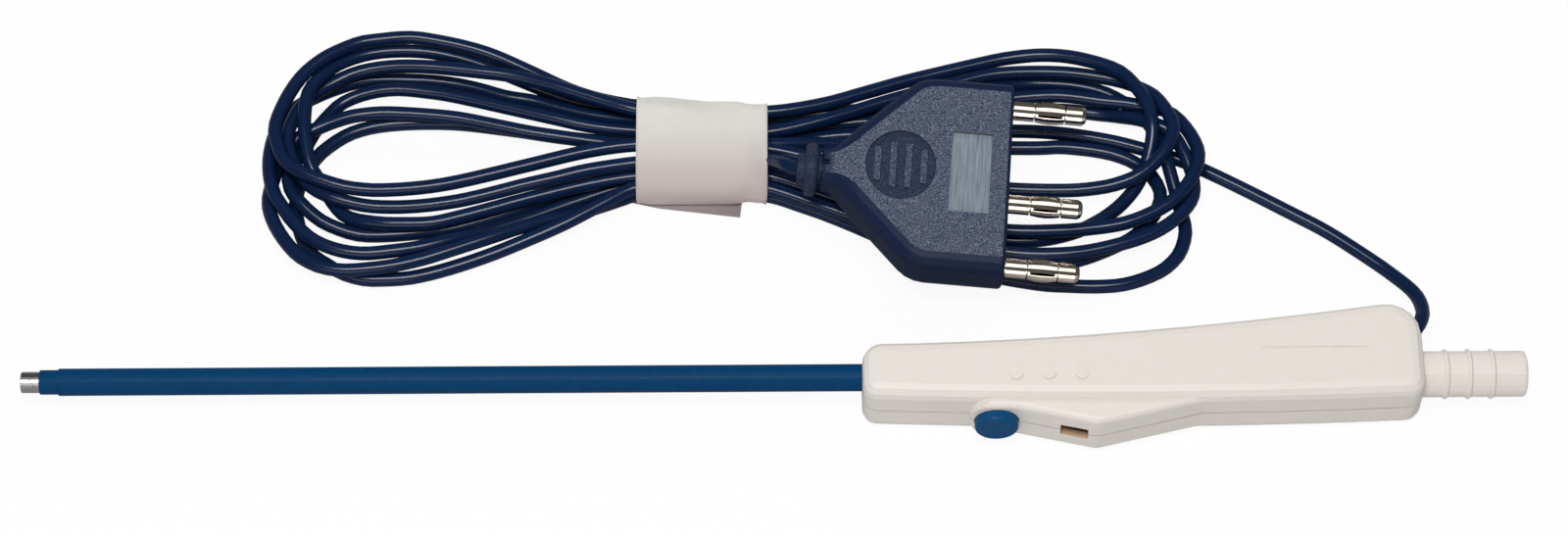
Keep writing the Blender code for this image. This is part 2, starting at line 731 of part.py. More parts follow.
def add_tubes(materials, parent):
    """The steel suction tube, which is also the electrode, in its two insulating sleeves."""
    socket_end = VENT_BODY_FRONT + TUBE_IN_SOCKET
    add_sleeve("suction_tube", TIP_X, socket_end, TUBE_DIAMETER, TUBE_BORE, materials["steel"], parent)
    bore = TUBE_DIAMETER + 2 * SLEEVE_GAP
    add_sleeve("inner_sleeve", TIP_X + INNER_SLEEVE_SETBACK, HANDLE_FRONT + INNER_SLEEVE_IN_HANDLE,
               INNER_SLEEVE_DIAMETER, bore, materials["sleeve"], parent)
    bore = INNER_SLEEVE_DIAMETER + 2 * SLEEVE_GAP
    add_sleeve("outer_sleeve", TIP_X + OUTER_SLEEVE_SETBACK, HANDLE_FRONT + OUTER_SLEEVE_IN_HANDLE,
               OUTER_SLEEVE_DIAMETER, bore, materials["sleeve"], parent)


def add_tube_clip(material, parent):
    """The spring clip that takes current from the board to the bare tube."""
    start = HANDLE_FRONT + CLIP_FROM_FRONT
    inner = TUBE_RADIUS + SLEEVE_GAP
    outer = inner + CLIP_SHEET
    bm = bmesh.new()
    end = start + CLIP_LENGTH
    add_turned(bm, [(start, inner), (end, inner), (end, outer), (start, outer)])
    bmesh.ops.translate(bm, verts=bm.verts, vec=(0, 0, AXIS_Z))
    clip = add_piece("tube_contact_clip", bm, material, parent)
    middle = start + CLIP_LENGTH / 2
    half = CLIP_TAIL_WIDTH / 2
    bm = bmesh.new()
    add_box(bm, (middle - half, -(BOARD_BACK_REACH - SEAT_GAP), AXIS_Z - half),
            (middle + half, -(inner + CLIP_SHEET / 2), AXIS_Z + half))
    combine(clip, add_tool("clip_tail", bm, parent), "UNION")
    bm = bmesh.new()
    add_box(bm, (start - SEAT_GAP, 0, AXIS_Z - half), (end + SEAT_GAP, outer * 2, AXIS_Z + half))
    combine(clip, add_tool("clip_slot", bm, parent), "DIFFERENCE")


def add_vent_body(material, parent):
    """The suction passage inside the handle, with a socket for the tube and a chimney to the thumb vent."""
    socket = TUBE_RADIUS + SLEEVE_GAP
    socket_end = VENT_BODY_FRONT + TUBE_IN_SOCKET + SEAT_GAP
    bore = VENT_BODY_BORE / 2
    outer = VENT_BODY_DIAMETER / 2
    narrow = TUBE_BORE / 2
    bm = bmesh.new()
    add_turned(bm, [(VENT_BODY_FRONT, socket), (socket_end, socket), (socket_end, narrow),
                    (socket_end + SHELL_WALL, narrow), (socket_end + SHELL_WALL * 2, bore),
                    (VENT_BODY_REAR, bore), (VENT_BODY_REAR, outer), (VENT_BODY_FRONT, outer)])
    bmesh.ops.translate(bm, verts=bm.verts, vec=(0, 0, AXIS_Z))
    body = add_piece("vent_body", bm, material, parent)
    flank_share = VENT_BEFORE_PEAK / (BUMP_PEAK_FROM_BUTTON - NOSE_FLAT)
    flank_reach = BUMP_PEAK_REACH + (NOSE_REACH - BUMP_PEAK_REACH) * flank_share
    mouth_reach = flank_reach - BUMP_WALL - 3 * SEAT_GAP
    half = Vector((VENT_WIDTH / 2 + CHIMNEY_WALL, 0, VENT_HEIGHT / 2 + CHIMNEY_WALL))
    bm = bmesh.new()
    add_box(bm, Vector((VENT_X, -mouth_reach, AXIS_Z)) - half,
            Vector((VENT_X, -bore - CHIMNEY_WALL, AXIS_Z)) + half)
    combine(body, add_tool("chimney", bm, parent), "UNION")
    half = Vector((VENT_WIDTH / 2, 0, VENT_HEIGHT / 2))
    bm = bmesh.new()
    add_box(bm, Vector((VENT_X, -mouth_reach - SHELL_WALL, AXIS_Z)) - half,
            Vector((VENT_X, 0, AXIS_Z)) + half)
    combine(body, add_tool("chimney_bore", bm, parent), "DIFFERENCE")


def add_barb(material, parent):
    """The hose barb, held by its flange behind the handle's rear wall."""
    bore = VENT_BODY_BORE / 2
    wide = BARB_BORE / 2
    outer = BARB_DIAMETER / 2
    edge = BARB_EDGE_RADIUS
    step_end = BARB_END - BARB_BORE_DEPTH
    profile = [(BARB_FRONT, bore), (step_end - SHELL_WALL, bore), (step_end, wide), (BARB_END, wide)]
    profile += [(BARB_END, outer - edge), (BARB_END - edge * 0.3, outer - edge * 0.3)]
    profile += [(BARB_END - edge, outer)]
    for ring in reversed(range(BARB_RINGS)):
        middle = HANDLE_REAR + BARB_RING_FIRST + BARB_RING_PITCH * ring
        crest = outer + BARB_RING_HEIGHT
        profile += [(middle + BARB_RING_WIDTH / 2, outer), (middle + BARB_RING_WIDTH / 6, crest),
                    (middle - BARB_RING_WIDTH / 6, crest), (middle - BARB_RING_WIDTH / 2, outer)]
    profile += [(BARB_FLANGE_REAR, outer), (BARB_FLANGE_REAR, BARB_FLANGE_DIAMETER / 2),
                (BARB_FLANGE_FRONT, BARB_FLANGE_DIAMETER / 2), (BARB_FLANGE_FRONT, VENT_BODY_DIAMETER / 2),
                (BARB_FRONT, VENT_BODY_DIAMETER / 2)]
    bm = bmesh.new()
    add_turned(bm, profile)
    bmesh.ops.translate(bm, verts=bm.verts, vec=(0, 0, AXIS_Z))
    return add_piece("hose_barb", bm, material, parent)


def add_switch(materials, parent):
    """The switch board and the snap dome under the button."""
    bm = bmesh.new()
    clear = SHELL_WALL + SEAT_GAP
    add_box(bm, (BOARD_START, -BOARD_FACE_REACH, clear),
            (BOARD_END, -BOARD_BACK_REACH, HANDLE_THICKNESS - clear))
    add_piece("switch_board", bm, materials["board"], parent)
    radius = DOME_DIAMETER / 2
    outer = []
    inner = []
    for step in range(5):
        share = step / 4
        outer.append((DOME_RIM_REACH + DOME_HEIGHT * (1 - share ** 2), radius * share))
        rise = (DOME_HEIGHT - DOME_SHEET) * (1 - share ** 2)
        inner.append((DOME_RIM_REACH + rise, (radius - DOME_SHEET) * share))
    bm = bmesh.new()
    add_turned(bm, outer + list(reversed(inner)), 24)
    turn = Matrix.Rotation(-math.pi / 2, 4, "Z")
    bmesh.ops.transform(bm, matrix=Matrix.Translation((BUTTON_X, 0, AXIS_Z)) @ turn, verts=bm.verts)
    add_piece("contact_dome", bm, materials["steel"], parent)


def add_button(material, parent):
    """The blue button, a cap with a flange that the nose's collar holds in, and a stem."""
    origin = add_empty("button_slide_origin", parent, (BUTTON_X, -NOSE_REACH, AXIS_Z))
    radius = BUTTON_DIAMETER / 2
    edge = BUTTON_EDGE_RADIUS
    stem_end = DOME_TOP_REACH + SEAT_GAP
    profile = [(stem_end, 0.0), (stem_end, STEM_DIAMETER / 2), (FLANGE_BACK_REACH, STEM_DIAMETER / 2),
               (FLANGE_BACK_REACH, FLANGE_DIAMETER / 2), (FLANGE_FRONT_REACH, FLANGE_DIAMETER / 2),
               (FLANGE_FRONT_REACH, radius), (BUTTON_FRONT_REACH - edge, radius)]
    for step in range(1, EDGE_STEPS + 1):
        angle = math.pi / 2 * step / EDGE_STEPS
        along = BUTTON_FRONT_REACH - edge * (1 - math.sin(angle))
        profile.append((along, radius - edge * (1 - math.cos(angle))))
    profile += [(BUTTON_FRONT_REACH - BUTTON_DISH * 0.6, radius * 0.5)]
    profile += [(BUTTON_FRONT_REACH - BUTTON_DISH, 0.0)]
    bm = bmesh.new()
    add_turned(bm, profile)
    turn = Matrix.Translation((0, NOSE_REACH, 0)) @ Matrix.Rotation(-math.pi / 2, 4, "Z")
    bmesh.ops.transform(bm, matrix=turn, verts=bm.verts)
    return add_piece("button_cap", bm, material, origin)


# Each wire's height at the board, lane, drop below the roof, how much later it crosses over, and its far end
WIRE_LANES = (
    ("wire_electrode", 0.0119, 0.0026, 0.0000, 0.0000, 0.0072, 0.0008, 0.0000),
    ("wire_switch_one", 0.0106, 0.0041, 0.0004, 0.0030, 0.0062, -0.0004, 0.0008),
    ("wire_switch_two", 0.0093, 0.0054, 0.0010, 0.0060, 0.0052, -0.0004, -0.0008),
)


def add_wires(materials, parent):
    """Three thin wires from the board, along the near side and over the vent body to the cord's end."""
    start_x = BOARD_END + SEAT_GAP
    start_y = -(BOARD_FACE_REACH + BOARD_BACK_REACH) / 2
    end_x = HANDLE_REAR - CORD_CLAMP_BACK - SEAT_GAP
    under_roof = HANDLE_THICKNESS - SHELL_WALL - WIRE_DIAMETER / 2 - SEAT_GAP
    for name, start_z, lane, lower, later, far, side, rise in WIRE_LANES:
        height = under_roof - lower
        cross = HANDLE_REAR - WIRE_CROSS_BACK + later
        route = [
            (start_x, start_y, start_z),
            (start_x + WIRE_LEAVE, (start_y * 2 - lane) / 3, (start_z * 2 + height) / 3),
            (start_x + WIRE_SETTLE, -lane, height),
            (BUMP_PEAK_X, -lane, height),
            (BUMP_PEAK_X + WIRE_PAST_PEAK, -lane, height),
            (cross - WIRE_CROSS_EASE, -lane, height),
            (cross, -lane * 0.6, under_roof),
            (cross + WIRE_CROSS_AFTER, WIRE_CROSS_REACH, under_roof),
            (cross + WIRE_DROP_AFTER, far * 0.75, under_roof - WIRE_DROP),
            (cross + WIRE_LAND_AFTER - later * 0.4, far + WIRE_LAND_SIDE, AXIS_Z + WIRE_LAND_RISE + rise),
            (end_x, CORD_CLAMP_REACH + side, AXIS_Z + rise),
        ]
        add_cord(name, route, WIRE_DIAMETER, materials[name], parent, WIRE_SPACING)


def add_cord_clamp(material, parent):
    """The clamp ring that holds the cord's end in the handle."""
    start = HANDLE_REAR - CORD_CLAMP_BACK
    inner = CORD_DIAMETER / 2 + SLEEVE_GAP * 2
    outer = CORD_CLAMP_DIAMETER / 2
    bm = bmesh.new()
    add_turned(bm, [(start, inner), (start + CORD_CLAMP_LENGTH, inner), (start + CORD_CLAMP_LENGTH, outer),
                    (start, outer)], 24)
    bmesh.ops.translate(bm, verts=bm.verts, vec=(0, CORD_CLAMP_REACH, AXIS_Z))
    add_piece("cord_clamp", bm, material, parent)


# The lead's chosen points between the handle's mouth and the hank, the last ones on the surface
LEAD_FALL = (
    (0.1330, 0.0123, 0.0071),
    (0.1341, 0.0162, 0.0053),
    (0.1331, 0.0215, 0.0032),
    (0.1290, 0.0268, 0.0018),
)
LEAD_ON_SURFACE = ((0.1233, 0.0318), (0.1158, 0.0376), (0.1082, 0.0424), (0.1006, 0.0471), (0.0916, 0.0523))


def add_lead(material, parent):
    """The cord from the clamp, out of the rear corner and down to the surface, as far as the hank."""
    start = Vector((HANDLE_REAR - CORD_CLAMP_BACK, CORD_CLAMP_REACH, AXIS_Z))
    mouth = Vector((HANDLE_REAR - CORD_EXIT_BACK, CORD_EXIT_REACH, AXIS_Z))
    way = cord_exit_direction()
    floor_z = CORD_DIAMETER / 2 + CORD_FLOOR_GAP
    half_clamp = Vector((CORD_CLAMP_LENGTH / 2, 0, 0))
    route = [start, start + half_clamp, start + half_clamp * 2.1]
    route += [mouth - way * CORD_BEFORE_MOUTH, mouth + way * CORD_PAST_MOUTH]
    route += LEAD_FALL
    route += [(x, y, floor_z) for x, y in LEAD_ON_SURFACE]
    add_cord("cord_lead", route, CORD_DIAMETER, material, parent, CORD_SPACING)


HANK_EDGE = (
    (-0.0010, 0.0467), (0.0183, 0.0387), (0.0330, 0.0312), (0.0483, 0.0252), (0.0674, 0.0225),
    (0.0819, 0.0271), (0.0884, 0.0389), (0.0907, 0.0509), (0.0885, 0.0615), (0.0800, 0.0735),
    (0.0700, 0.0815), (0.0583, 0.0834), (0.0446, 0.0812), (0.0192, 0.0738), (-0.0010, 0.0678),
    (-0.0155, 0.0674), (-0.0300, 0.0679), (-0.0522, 0.0800), (-0.0693, 0.0878), (-0.0782, 0.0889),
    (-0.0946, 0.0858), (-0.1026, 0.0785), (-0.1070, 0.0657), (-0.1080, 0.0535), (-0.1060, 0.0415),
    (-0.0996, 0.0304), (-0.0877, 0.0258), (-0.0785, 0.0253), (-0.0673, 0.0281), (-0.0511, 0.0351),
    (-0.0300, 0.0466), (-0.0155, 0.0468),
)
LEFT_EYE = ((-0.0400, 0.0588), (-0.0560, 0.0650), (-0.0720, 0.0672), (-0.0860, 0.0630), (-0.0880, 0.0540),
            (-0.0760, 0.0510), (-0.0580, 0.0535))
RIGHT_EYE = ((0.0540, 0.0490), (0.0700, 0.0465), (0.0790, 0.0500), (0.0780, 0.0570), (0.0690, 0.0590),
             (0.0540, 0.0560))


def add_hank(material, parent):
    """The wound cord as one solid of its outer shape, with the eyes of its two loops open."""
    bm = bmesh.new()
    outline = [point.to_2d() for point in smooth_route([(x, y, 0) for x, y in HANK_EDGE], True, 2)]
    slab(bm, outline, rounded_levels(HANK_BASE, HANK_TOP, HANK_EDGE_RADIUS, HANK_EDGE_RADIUS))
    hank = add_piece("cord_hank", bm, material, parent)
    for name, eye in (("left_eye", LEFT_EYE), ("right_eye", RIGHT_EYE)):
        bm = bmesh.new()
        outline = [point.to_2d() for point in smooth_route([(x, y, 0) for x, y in eye], True, 3)]
        slab(bm, outline, [(0.0, 0.0), (HANK_TOP + HANK_BASE, 0.0)])
        combine(hank, add_tool(name, bm, parent), "DIFFERENCE")
    left = BAND_LEFT - BUNDLE_PAST_BAND
    near = BAND_NEAR + BUNDLE_MARGIN
    far = BAND_FAR - BUNDLE_MARGIN
    bm = bmesh.new()
    corners = ((left, near), (BUNDLE_END, near), (BUNDLE_END, far), (left, far))
    outline = [Vector(corner) for corner in corners]
    slab(bm, outline, rounded_levels(HANK_TOP - HANK_EDGE_RADIUS, BUNDLE_TOP, 0, BUNDLE_EDGE_RADIUS))
    combine(hank, add_tool("bundle_in_band", bm, parent), "UNION")


def add_band(material, parent):
    """The paper band round the hank, with the loose end of its strip on the surface."""
    top = BUNDLE_TOP + SEAT_GAP + PAPER_THICKNESS
    right = BAND_LEFT + BAND_WIDTH
    corner = BAND_CORNER
    outline = rounded_outline([(BAND_NEAR, 0.0, corner), (BAND_FAR, 0.0, corner),
                               (BAND_FAR, top, corner), (BAND_NEAR, top, corner)])
    bm = bmesh.new()
    loft(bm, [[Vector((x, p.x, p.y)) for p in outline] for x in (BAND_LEFT, right)])
    band = add_piece("paper_band", bm, material, parent)
    inner = inset_outline(outline, PAPER_THICKNESS)
    bm = bmesh.new()
    loft(bm, [[Vector((x, p.x, p.y)) for p in inner] for x in (BAND_LEFT - SEAT_GAP, right + SEAT_GAP)])
    combine(band, add_tool("band_inside", bm, parent), "DIFFERENCE")
    inside = BAND_NEAR + corner * 1.5
    flap_end = right - FLAP_RIGHT_BACK
    flap = [Vector((BAND_LEFT, inside)), Vector((BAND_LEFT, BAND_NEAR + FLAP_LEFT_REACH)),
            Vector((flap_end, BAND_NEAR - FLAP_REACH)), Vector((flap_end + FLAP_SLANT, inside))]
    bm = bmesh.new()
    slab(bm, flap, [(0.0, 0.0), (PAPER_THICKNESS * 0.8, 0.0)])
    combine(band, add_tool("band_flap", bm, parent), "UNION")


def plug_outline():
    """The plug seen from above, neck towards -X, and still too long at the end that is pressed flat."""
    half = PLUG_HALF_WIDTH
    neck = NECK_HALF_WIDTH
    shoulder = PLUG_SHOULDER_RADIUS
    return rounded_outline([
        (PLUG_EDGE_RADIUS, -half, 0.0),
        (PLUG_EDGE_RADIUS, half, 0.0),
        (-PLUG_SHOULDER_LENGTH, half, shoulder),
        (-NECK_HOLLOW_LENGTH, neck, NECK_HOLLOW_RADIUS),
        (-PLUG_LENGTH, neck, 0.0),
        (-PLUG_LENGTH, -neck, 0.0),
        (-NECK_HOLLOW_LENGTH, -neck, NECK_HOLLOW_RADIUS),
        (-PLUG_SHOULDER_LENGTH, -half, shoulder),
    ])


def square_pin_face(bm):
    """Press the plug's end flat at X 0 and round the face's edge a little."""
    for vert in bm.verts:
        vert.co.x = min(vert.co.x, 0.0)
    flats = [face for face in bm.faces if all(vert.co.x == 0.0 for vert in face.verts)]
    face = bmesh.ops.dissolve_faces(bm, faces=flats)["region"][0]
    bmesh.ops.bevel(bm, geom=face.edges[:], offset=PLUG_FACE_CORNER, segments=3, profile=0.5, affect="EDGES")


def thin_neck(bm):
    """Thin the plug smoothly from full thickness to its neck."""
    for step in range(NECK_TAPER_CUTS):
        x = -PLUG_LENGTH + NECK_TAPER_LENGTH * (step + 1) / NECK_TAPER_CUTS
        everything = bm.verts[:] + bm.edges[:] + bm.faces[:]
        bmesh.ops.bisect_plane(bm, geom=everything, plane_co=(x, 0, 0), plane_no=(1, 0, 0))
    for vert in bm.verts:
        share = min(max(1 - (vert.co.x + PLUG_LENGTH) / NECK_TAPER_LENGTH, 0.0), 1.0)
        ease = share ** 2 * (3 - 2 * share)
        vert.co.z *= 1 - ease * (1 - 2 * NECK_HALF_HEIGHT / PLUG_THICKNESS)
    bmesh.ops.triangulate(bm, faces=bm.faces)


def add_plug_body(material, frame):
    """The moulded plug with its neck rings, finger grip and shallow bare patch."""
    half = PLUG_THICKNESS / 2
    bm = bmesh.new()
    slab(bm, plug_outline(), rounded_levels(-half, half, PLUG_EDGE_RADIUS, PLUG_EDGE_RADIUS))
    square_pin_face(bm)
    thin_neck(bm)
    body = add_piece("plug_body", bm, material, frame)
    neck_start = -PLUG_LENGTH - NECK_RING_SPACE
    ring_end = neck_start - NECK_RING_LENGTH
    neck_end = ring_end - NECK_END_LENGTH
    bore = CORD_DIAMETER / 2 + SEAT_GAP
    bore_end = -PLUG_LENGTH + CORD_DIAMETER
    bm = bmesh.new()
    ring = NECK_RING_DIAMETER / 2
    rounding = NECK_RING_ROUNDING
    profile = [(bore_end, 0.0), (bore_end, NECK_RADIUS), (neck_start, NECK_RADIUS)]
    for corner, way in ((neck_start - rounding, 0.0), (ring_end + rounding, math.pi / 2)):
        for step in range(NECK_RING_STEPS + 1):
            angle = way + math.pi / 2 * step / NECK_RING_STEPS
            profile.append((corner + rounding * math.cos(angle), ring - rounding * (1 - math.sin(angle))))
    profile += [(ring_end, NECK_END_DIAMETER / 2), (neck_end, NECK_END_DIAMETER / 2), (neck_end, 0.0)]
    add_turned(bm, profile, 32)
    combine(body, add_tool("plug_neck", bm, frame), "UNION")
    bm = bmesh.new()
    add_rod(bm, (neck_end, 0, 0), 2 * CORD_DIAMETER, bore, "X", 24)
    combine(body, add_tool("plug_cord_hole", bm, frame), "DIFFERENCE")
    bm = bmesh.new()
    add_rod(bm, (0, 0, half), 2 * GRIP_DEPTH, GRIP_LENGTH / 2, "Z")
    bmesh.ops.scale(bm, verts=bm.verts, vec=(1, GRIP_WIDTH / GRIP_LENGTH, 1))
    bmesh.ops.translate(bm, verts=bm.verts, vec=(-GRIP_FROM_FACE, 0, 0))
    combine(body, add_tool("grip_recess", bm, frame), "DIFFERENCE")
    bm = bmesh.new()
    for index, length in enumerate(GRIP_BAR_LENGTHS):
        x = -GRIP_FROM_FACE + GRIP_BAR_PITCH * (index - (len(GRIP_BAR_LENGTHS) - 1) / 2)
        add_box(bm, (x - GRIP_BAR_WIDTH / 2, -length / 2, half - 2 * GRIP_DEPTH),
                (x + GRIP_BAR_WIDTH / 2, length / 2, half - GRIP_DEPTH / 4))
    combine(body, add_tool("grip_bars", bm, frame), "UNION")
    bm = bmesh.new()
    add_box(bm, (-PATCH_FROM_FACE - PATCH_LENGTH / 2, PATCH_SIDE - PATCH_WIDTH / 2, half - PATCH_DEPTH),
            (-PATCH_FROM_FACE + PATCH_LENGTH / 2, PATCH_SIDE + PATCH_WIDTH / 2, half + PATCH_DEPTH))
    combine(body, add_tool("bare_patch", bm, frame), "DIFFERENCE")
    bm = bmesh.new()
    add_box(bm, (-CARRIER_DEPTH, -CARRIER_LENGTH / 2, -CARRIER_THICKNESS / 2),
            (SHELL_WALL, CARRIER_LENGTH / 2, CARRIER_THICKNESS / 2))
    combine(body, add_tool("carrier_pocket", bm, frame), "DIFFERENCE")


def add_pin_carrier(material, frame):
    """The hard insert in the plug's face that holds the three pins."""
    gap = SEAT_GAP
    bm = bmesh.new()
    add_box(bm, (-CARRIER_DEPTH + gap, -CARRIER_LENGTH / 2 + gap, -CARRIER_THICKNESS / 2 + gap),
            (-gap, CARRIER_LENGTH / 2 - gap, CARRIER_THICKNESS / 2 - gap))
    carrier = add_piece("pin_carrier", bm, material, frame)
    bm = bmesh.new()
    for side in PIN_SIDES:
        length = PIN_ROOT_LENGTH + gap
        add_rod(bm, (-length / 2 + gap / 2, side, 0), length + gap, PIN_CORE_DIAMETER / 2 + gap, "X", 24)
    combine(carrier, add_tool("pin_holes", bm, frame), "DIFFERENCE")


def add_pins(materials, frame):
    """Three plug pins, each a stepped core in a slotted spring cage."""
    core = PIN_CORE_DIAMETER / 2
    full = PIN_DIAMETER / 2
    gap = SEAT_GAP
    tip_start = PIN_LENGTH - PIN_TIP_LENGTH
    cage_start = PIN_COLLAR_LENGTH + gap
    cage_end = tip_start - gap
    for name, side in zip(("near_pin", "middle_pin", "far_pin"), reversed(PIN_SIDES)):
        bm = bmesh.new()
        add_turned(bm, [(-PIN_ROOT_LENGTH, 0.0), (-PIN_ROOT_LENGTH, core), (gap, core), (gap, full),
                        (PIN_COLLAR_LENGTH, full), (PIN_COLLAR_LENGTH, core), (tip_start, core),
                        (tip_start, full), (PIN_LENGTH - full * 0.5, full),
                        (PIN_LENGTH - full * 0.15, full * 0.8), (PIN_LENGTH, full * 0.45),
                        (PIN_LENGTH, 0.0)], 18)
        bmesh.ops.translate(bm, verts=bm.verts, vec=(0, side, 0))
        add_piece(name, bm, materials["nickel"], frame)
        outer = []
        inner = []
        for step in range(5):
            share = step / 4
            along = cage_start + (cage_end - cage_start) * share
            bulge = (CAGE_BULGE_DIAMETER - PIN_DIAMETER) / 2 * math.sin(math.pi * share)
            outer.append((along, full + bulge))
            inner.append((along, full + bulge - CAGE_SHEET))
        bm = bmesh.new()
        add_turned(bm, outer + list(reversed(inner)), 18)
        bmesh.ops.translate(bm, verts=bm.verts, vec=(0, side, 0))
        cage = add_piece(name + "_cage", bm, materials["nickel"], frame)
        bm = bmesh.new()
        slot_half = (cage_end - cage_start) / 2 - CAGE_END_RING
        for slot in range(CAGE_SLOTS):
            turn = Matrix.Rotation(math.tau * (slot + 0.5) / CAGE_SLOTS, 4, "X")
            centre = turn @ Vector(((cage_start + cage_end) / 2, 0, full + CAGE_SHEET))
            size = Matrix.Diagonal((2 * slot_half, CAGE_SLOT_WIDTH, full, 1.0))
            place = Matrix.Translation(centre + Vector((0, side, 0))) @ turn @ size
            bmesh.ops.create_cube(bm, size=1.0, matrix=place)
        combine(cage, add_tool(name + "_slots", bm, frame), "DIFFERENCE")


def add_tail(material, root, plug_place, plug_turn):
    """The short cord from the hank's top into the plug's neck."""
    neck_end = -PLUG_LENGTH - NECK_RING_SPACE - NECK_RING_LENGTH - NECK_END_LENGTH
    inside, entry, mouth = [plug_place + plug_turn @ Vector((neck_end + depth, 0, 0))
                            for depth in (CORD_DIAMETER * 0.8, -TAIL_BEFORE_NECK / 4, -TAIL_BEFORE_NECK)]
    start = Vector((BUNDLE_END + SEAT_GAP, mouth.y + TAIL_SIDE, HANK_TOP + SEAT_GAP + CORD_DIAMETER / 2))
    route = [start, start + Vector((TAIL_LEAVE, 0, 0)), mouth, entry, inside]
    add_cord("cord_tail", route, CORD_DIAMETER, material, root, TAIL_SPACING)


def middle_of_handpiece():
    """The middle of the handle and tube seen from above, without the cord and plug."""
    handle = handle_outline()
    low = min(min(point.y for point in handle), min(point.y for point in bump_outline()))
    high = max(point.y for point in handle)
    return (TIP_X + BARB_END) / 2, (low + high) / 2


def build():
    """Make every piece under one root."""
    clear_scene()
    materials = {
        "shell": make_material("handle_plastic", (0.80, 0.78, 0.74), 0.45),
        "steel": make_material("bright_steel", (0.72, 0.71, 0.69), 0.25, 1.0),
        "sleeve": make_material("blue_sleeve", (0.02, 0.22, 0.50), 0.35),
        "button": make_material("blue_button", (0.01, 0.16, 0.36), 0.35),
        "vent": make_material("tan_plastic", (0.50, 0.34, 0.24), 0.55),
        "board": make_material("switch_board_green", (0.05, 0.22, 0.10), 0.50),
        "clamp": make_material("clamp_plastic", (0.06, 0.06, 0.07), 0.55),
        "cord": make_material("cord_navy", (0.012, 0.025, 0.070), 0.22),
        "plug": make_material("plug_navy", (0.06, 0.09, 0.16), 0.50),
        "carrier": make_material("carrier_plastic", (0.05, 0.06, 0.09), 0.50),
        "paper": make_material("band_paper", (0.78, 0.76, 0.74), 0.85),
        "nickel": make_material("warm_nickel", (0.78, 0.70, 0.58), 0.22, 1.0),
        "wire_electrode": make_material("wire_blue", (0.03, 0.12, 0.45), 0.40),
        "wire_switch_one": make_material("wire_white", (0.75, 0.75, 0.73), 0.40),
        "wire_switch_two": make_material("wire_black", (0.02, 0.02, 0.02), 0.40),
    }
    middle_x, middle_y = middle_of_handpiece()
    root = add_empty("root", None, (-middle_x, -middle_y, 0.0))

    upper = add_shell(1, "upper_shell", materials["shell"], root)
    lower = add_shell(-1, "lower_shell", materials["shell"], root)
    add_top_marks(upper, root)
    add_pegs(upper, lower, root)
    add_tubes(materials, root)
    add_tube_clip(materials["steel"], root)
    add_vent_body(materials["vent"], root)
    add_barb(materials["shell"], root)
    add_switch(materials, root)
    add_button(materials["button"], root)
    add_wires(materials, root)
    add_cord_clamp(materials["clamp"], root)

    add_lead(materials["cord"], root)
    add_hank(materials["cord"], root)
    add_band(materials["paper"], root)

    place = Vector((PLUG_X, PLUG_Y, PLUG_Z))
    turn = Euler([math.radians(angle) for angle in (PLUG_TILT, PLUG_PITCH, PLUG_YAW)]).to_matrix()
    frame = add_empty("plug_frame", root, place, turn.to_euler())
    add_plug_body(materials["plug"], frame)
    add_pin_carrier(materials["carrier"], frame)
    add_pins(materials, frame)
    add_tail(materials["cord"], root, place, turn)


build()
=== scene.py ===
# %% [markdown]
# Suction coagulator: a suction tube in a plastic handle with a button, and its cord in a banded hank.
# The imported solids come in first. They stay where they are, and each new piece is built round them in metres.

# %% Load the solids
import math

import bmesh
import bpy
import numpy as np
from mathutils import Matrix, Vector


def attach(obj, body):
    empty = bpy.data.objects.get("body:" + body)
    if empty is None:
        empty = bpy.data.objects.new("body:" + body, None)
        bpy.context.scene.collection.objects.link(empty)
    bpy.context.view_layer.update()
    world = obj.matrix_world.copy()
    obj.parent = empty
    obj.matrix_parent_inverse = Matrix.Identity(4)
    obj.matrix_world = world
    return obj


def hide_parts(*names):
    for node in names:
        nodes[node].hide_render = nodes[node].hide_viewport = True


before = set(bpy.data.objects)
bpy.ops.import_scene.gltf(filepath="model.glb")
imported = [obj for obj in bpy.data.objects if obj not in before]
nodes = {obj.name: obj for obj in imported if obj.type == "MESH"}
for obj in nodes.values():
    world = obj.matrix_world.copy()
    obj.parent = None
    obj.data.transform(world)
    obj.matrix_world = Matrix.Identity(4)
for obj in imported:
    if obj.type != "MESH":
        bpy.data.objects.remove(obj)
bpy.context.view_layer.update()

# %% [markdown]
# The photograph is taken from the button's side, 60 degrees above the table, with a long lens.
# A long lens keeps the tube and the handle nearly parallel to the frame, so the camera stands far away.
# The picture is turned by a third of a degree, which a real tripod does easily.

# %% Camera
MM = 0.001
TARGET = Vector((2.3, 28.25, 4.0)) * MM
DISTANCE = 907 * MM
ELEVATION = math.radians(60)
ROLL = math.radians(0.336)


def add_camera():
    """A long lens that looks down at the middle of the object."""
    data = bpy.data.cameras.new("camera")
    data.lens = 100
    data.sensor_width = 36
    data.clip_start = 0.01
    camera = bpy.data.objects.new("camera", data)
    bpy.context.scene.collection.objects.link(camera)
    tilt = Matrix.Rotation(math.pi / 2 - ELEVATION, 4, "X")
    roll = Matrix.Rotation(-ROLL, 4, "Z")
    camera.matrix_world = Matrix.Translation(TARGET) @ tilt @ roll @ Matrix.Translation((0, 0, DISTANCE))
    bpy.context.scene.camera = camera
    return camera


camera = add_camera()
print("camera at", [round(value, 4) for value in camera.matrix_world.translation])

# %% [markdown]
# The cord is one piece, from the clamp in the handle to the plug. Its winding could be a plain coil, but a
# hank that was folded by hand has strands of many sizes that cross over and under each other.
# So each bend is given as chosen places in millimetres, with the height at which it lies, and the whole
# cord is then settled: wherever two strands are closer than one diameter, they push each other apart.

